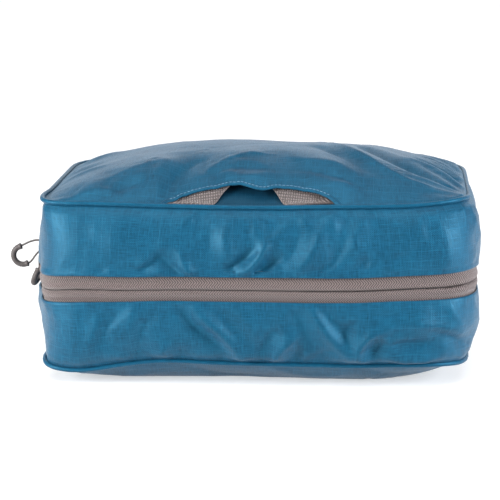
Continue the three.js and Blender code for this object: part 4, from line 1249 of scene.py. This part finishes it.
def make_binding(level, row, way, body):
    """The tape over the raw seam edges, inside the wall."""
    rows = [row + way * k for k in (2, 4, 6)]
    lines = []
    for k in rows if way > 0 else rows[::-1]:
        line, outwards = ring_line(k)
        lines.append(line - outwards * 1.9 * MM)
    points = np.stack(lines)
    points = np.concatenate([points, points[:, :1]], 1)
    u = np.append(walk_s, walk_s[0] + net.loop)
    u, v = np.meshgrid(u, np.arange(3) * 3.5 * MM)
    binding = grid_piece(f"{level}_binding", points, np.stack([u, v], 2), binding_cloth, 0.8 * MM)
    put_on(binding, body, f"{level}_seam_binding")


make_piping("top", last_row, "lid")
make_piping("bottom", 0, "base")
make_binding("lower", 0, 1, "base")
make_binding("upper", last_row, -1, "lid")


# ---------------------------------------------------------------- zip
ZIP_END_S = seam_s - 1.5 * MM  # the coil stops a little short of the back panel, the tape doesn't
zip_s = walk_s[gusset_keep]


def zip_line(offset):
    """The zip's path at a height from its centre line, with outward directions."""
    line = net.ring(Z_ZIP + offset)[order][gusset_keep]
    return line, outwards_of(line)


def tape_profile(distance):
    """How far the tape's face stands out of the wall's line, by its distance from the zip's centre."""
    d = distance / MM
    coil_swell = 1.15 * np.exp(-((d - 2.6) / 2.6) ** 2)
    lip = -1.6 * np.clip(1 - d / 1.1, 0, 1) ** 2
    return (-1.35 + coil_swell + lip) * MM


def make_tape(level, way, body):
    """Half of the zip's tape, from the centre lip to the edge under the wall's cloth."""
    distances = np.array([0.18, 0.3, 0.5, 0.8, 1.2, 1.8, 2.4, 3.1, 4.0, 5.2, 6.6, 8.0, 9.6, 11.2]) * MM
    lines = []
    gape = 0.25 * MM * smooth(0, 60 * MM, zip_s)
    for d in distances:
        line, outwards = zip_line(way * min(d, TAPE_EDGE))
        spare = max(d - TAPE_EDGE, 0) + gape * max(1 - d / (2 * MM), 0)
        lines.append(line + outwards * tape_profile(d) + way * spare[..., None] * np.array([0, 0, 1.0]))
    points = np.stack(lines if way > 0 else lines[::-1])
    u, v = np.meshgrid(zip_s, distances if way > 0 else -distances[::-1])
    tape = grid_piece(f"zip_tape_{level}", points, np.stack([u, v], 2), tape_cloth, 0.7 * MM)
    put_on(tape, body, f"zipper_tape_{level}")


COIL_PITCH = 1.6 * MM
COIL_HALF_WIDTH = 1.25 * MM
COIL_HALF_DEPTH = 0.55 * MM
COIL_BEHIND = 2.0 * MM  # the coil's middle stands this far behind the wall's line


def make_coil(level, way, body):
    """A coil of nylon sewn behind the tape's lip: one loop every 1.6 mm, with its head at the centre."""
    turns = int(2 * ZIP_END_S / COIL_PITCH)
    points_per_turn = 7
    t = np.linspace(0, turns, turns * points_per_turn + 1)
    s = -ZIP_END_S + t * COIL_PITCH + (0 if way > 0 else COIL_PITCH / 2)
    line, outwards = zip_line(way * 0.8 * MM)
    centre = read_line(s, zip_s, line)
    out = unit(read_line(s, zip_s, outwards))
    up = np.array([0, 0, 1.0])
    turn = 2 * np.pi * t
    rise = 0.45 * MM - COIL_HALF_WIDTH * np.cos(turn)
    depth = COIL_HALF_DEPTH * np.sin(turn) - COIL_BEHIND
    path = centre + up * way * rise[:, None] + out * depth[:, None]
    sides, ups = line_frames(path, unit(out + 0.01))
    coil = sweep(f"zip_coil_{level}", path, sides, ups, circle(0.27 * MM, 4), coil_plastic)
    put_on(coil, body, f"zipper_coil_{level}")


make_tape("lower", -1, "base")
make_tape("upper", 1, "lid")
make_coil("lower", -1, "base")
make_coil("upper", 1, "lid")


def make_end_tab(side, way):
    """A folded scrap of shell cloth that covers the lower tape's end."""
    width = 8 * MM
    s = np.linspace(seam_s - width, seam_s - 0.4 * MM, 9)
    rows = []
    heights = np.linspace(-TAPE_EDGE - 1.5 * MM, -0.4 * MM, 9)
    for z in heights:
        ring = net.ring(Z_ZIP + max(z, -TAPE_EDGE))[order]
        line = read_line(way * s, walk_s, ring)
        line = line + outwards_of(line) * way * 0.5 * MM
        line[:, 2] = Z_ZIP + z
        rows.append(line if way > 0 else line[::-1])
    points = np.stack(rows)
    u, v = np.meshgrid(s, heights)
    tab = grid_piece(f"zip_tab_{side}", points, np.stack([u, v], 2), shell, 0.9 * MM)
    put_on(tab, "base", f"zip_end_tab_{side}")


make_end_tab("left", -1)
make_end_tab("right", 1)


# ---------------------------------------------------------------- sliders, pull cords and grips
def box_piece(name, outline, low, high, place, axes, material, bevel):
    """A plate over an outline in its own plane, with its edges rounded, moved to its place."""
    count = len(outline)
    points = [(x, y, low) for x, y in outline] + [(x, y, high) for x, y in outline]
    faces = [tuple(reversed(range(count))), tuple(range(count, 2 * count))]
    faces += [(i, (i + 1) % count, count + (i + 1) % count, count + i) for i in range(count)]
    world = np.array(points) @ np.array(axes) + np.array(place)
    uvs = np.array(points)[:, :2]
    piece = new_piece(name, world, faces, uvs, material)
    face_outwards(piece)
    rounding = piece.modifiers.new("rounding", "BEVEL")
    rounding.width = bevel
    rounding.segments = 3
    rounding.limit_method = "ANGLE"
    return apply_modifiers(piece)


def joined(name, parts):
    """One piece made of several closed parts, each keeping its own faces, all in the first part's material.
    """
    points, faces, uvs, base = [], [], [], 0
    for part in parts:
        mesh = part.data
        points += [tuple(v.co) for v in mesh.vertices]
        faces += [tuple(base + i for i in f.vertices) for f in mesh.polygons]
        uvs += [tuple(d.uv) for d in mesh.uv_layers["cloth"].data]
        base += len(mesh.vertices)
    piece = new_piece(name, points, faces, uvs, parts[0].data.materials[0])
    for part in parts:
        mesh = part.data
        bpy.data.objects.remove(part)
        bpy.data.meshes.remove(mesh)
    return piece


def make_slider(which, nose_to):
    """Two plates, one on each side of the coil, with a post between them and a ridge on the outer one."""
    low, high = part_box(f"zip_slider_{which}")
    centre = np.array([-(HALF_WIDTH + SWELL_X), (low.y + high.y) / 2, Z_ZIP])
    axes = np.array([(0, nose_to, 0), (0, 0, 1), (-1, 0, 0)], float)
    half_length, half_width = (high.y - low.y) / 2, (high.z - low.z) / 2
    outline = []
    for turn in np.linspace(0, 2 * math.pi, 28, endpoint=False):
        c, s = math.cos(turn), math.sin(turn)
        x = half_length * math.copysign(abs(c) ** 0.55, c)
        narrow = 1 - 0.3 * smooth(0, 1, np.array(-x / half_length))
        outline.append((x, half_width * float(narrow) * math.copysign(abs(s) ** 0.6, s)))
    outer = box_piece("outer", outline, 0.35 * MM, 1.5 * MM, centre, axes, slider_metal, 0.35 * MM)
    inner = box_piece("inner", outline, -4.8 * MM, -3.7 * MM, centre, axes, slider_metal, 0.35 * MM)
    post = [(x * MM, y * MM) for x, y in ((1.5, -0.5), (3.7, -0.5), (3.7, 0.5), (1.5, 0.5))]
    middle_post = box_piece("post", post, -4.2 * MM, 0.9 * MM, centre, axes, slider_metal, 0.1 * MM)
    ridge = [(x * MM, y * MM) for x, y in ((-3.4, -1.5), (3.2, -2.2), (3.2, 2.2), (-3.4, 1.5))]
    raised = box_piece("raised", ridge, 1.3 * MM, 1.75 * MM, centre, axes, slider_metal, 0.2 * MM)
    slider = joined(f"slider_{which}_body", [outer, inner, middle_post, raised])
    put_on(slider, f"slider_{which}", f"zip_slider_{which}")
    return centre


BAIL_REACH = 4.35 * MM  # how far the bail's bar stands out from the wall's line
BAIL_HALF = [(0, 4.35), (2.2, 4.3), (3.1, 3.8), (3.3, 2.6), (3.2, 1.55)]  # (along the zip, out), in mm


def make_bail(which, centre, nose_to):
    """The wire loop on the slider that its pull hangs from."""
    knots = [(-y, z) for y, z in BAIL_HALF[:0:-1]] + BAIL_HALF
    line = curve_points([(-z * MM, nose_to * y * MM, 0) for y, z in knots], 6) + centre
    sides, ups = line_frames(line, np.array([0, 0, 1.0]))
    bail = sweep(f"bail_{which}", line, sides, ups, circle(0.6 * MM, 10), slider_metal)
    put_on(bail, f"slider_{which}", f"slider_bail_{which}")


# Routes of the cord loops, as offsets from the bail's bar: x is negative out from the wall.
PULLS = {
    "back": dict(
        nose_to=-1,
        route=[(-20.9, 0, 0.9), (-19.4, 0, 1.7), (-17.2, 0, 2.8), (-14, 0, 4.3), (-10.2, 0, 5.3),
               (-6.6, 0, 5.1), (-3.2, 0, 3.6), (-0.6, 0, 1.9), (1.1, 0, 1.2), (1.62, 0, 0),
               (1.1, 0, -1.2), (-0.6, 0, -1.7),
               (-3.4, 0, -1.4), (-7, 0, -1.5), (-10.2, 0, -4.5), (-12.8, 0, -8.1), (-14.9, 0, -10.1),
               (-16.4, 0, -10.8)],
        grip=(-19.1, 0, -5.05), axis=(-0.936, 0, -0.352)),
    "front": dict(
        nose_to=1,
        route=[(-4.6, -17.9, -9.7), (-4, -17, -8.5), (-3.9, -15.6, -7.1), (-4.6, -11.5, -4),
               (-4.9, -6.5, -0.9), (-3.7, -2.8, 1.2), (-1.7, -0.8, 2), (0.3, 0, 1.7), (1.4, 0, 0.9),
               (1.62, 0, -0.1), (1.2, 0, -1.2), (0.1, 0, -1.8), (-1.4, -0.5, -3.1), (-3, -2.2, -6.6),
               (-4.3, -4.4, -10.8), (-5.1, -6.6, -14.4),
               (-5.5, -7.6, -15.7)],
        grip=(-5.2, -13, -13.2), axis=(-0.413, -0.49, -0.768)),
}
CORD_DIAMETER = 1.3 * MM
GRIP_RADIUS = 2.0 * MM
GRIP_BEND = 6.2 * MM
GRIP_LEG = 1.7 * MM


def make_pull(which):
    """A slider with its bail, and the cord loop and grip that hang from it."""
    data = PULLS[which]
    centre = make_slider(which, data["nose_to"])
    make_bail(which, centre, data["nose_to"])
    bar = centre - np.array([BAIL_REACH, 0, 0])
    route = np.array(data["route"]) * MM + bar
    line = curve_points(route, 5)
    curve = bpy.data.curves.new(f"cord_{which}", "CURVE")
    curve.dimensions = "3D"
    curve.bevel_depth = CORD_DIAMETER / 2
    curve.bevel_resolution = 3
    curve.use_fill_caps = True
    spline = curve.splines.new("POLY")
    spline.points.add(len(line) - 1)
    for point, place in zip(spline.points, line):
        point.co = (*place, 1)
    curve.materials.append(cord_braid)
    cord = bpy.data.objects.new(f"cord_{which}", curve)
    bpy.context.scene.collection.objects.link(cord)
    put_on(cord, f"pull_{which}", f"pull_cord_{which}")
    grip = make_grip(which, data, bar, route)


def make_grip(which, data, bar, route):
    """A C of moulded rubber: a thicker collar at each end, and fine ribs across its back."""
    axis = unit(np.array(data["axis"]))
    spread = route[1] - route[-2]
    spread = unit(spread - axis * np.dot(spread, axis))
    middle_point = np.array(data["grip"]) * MM + bar
    legs = np.linspace(0, 1, 8)[:-1]
    one = [middle_point - axis * GRIP_LEG * (1 - t) + spread * GRIP_BEND for t in legs]
    turns = np.linspace(math.pi / 2, -math.pi / 2, 61)
    bend = [middle_point + (axis * math.cos(t) + spread * math.sin(t)) * GRIP_BEND for t in turns]
    other = [middle_point - axis * GRIP_LEG * t - spread * GRIP_BEND for t in np.linspace(0, 1, 8)[1:]]
    line = np.array(one + bend + other)
    across = unit(np.cross(axis, spread))
    tangents = unit(np.gradient(line, axis=0))
    ups = np.broadcast_to(across, line.shape)
    sides = np.cross(ups, tangents)
    at = np.linspace(0, 1, len(line))
    from_end = np.minimum(at, 1 - at) * len(line)
    radius = 0.93 + 0.17 * np.exp(-((from_end - 3.5) / 3.2) ** 2)
    radius += 0.035 * np.sin(at * 2 * math.pi * 19) * smooth(10, 16, from_end)
    radius[[0, -1]] *= 0.75
    grip = sweep(f"grip_{which}", line, sides, ups, circle(GRIP_RADIUS, 14), grip_plastic, scale=radius)
    return put_on(grip, f"pull_{which}", f"pull_grip_{which}")


make_pull("back")
make_pull("front")

make_camera()
make_studio()
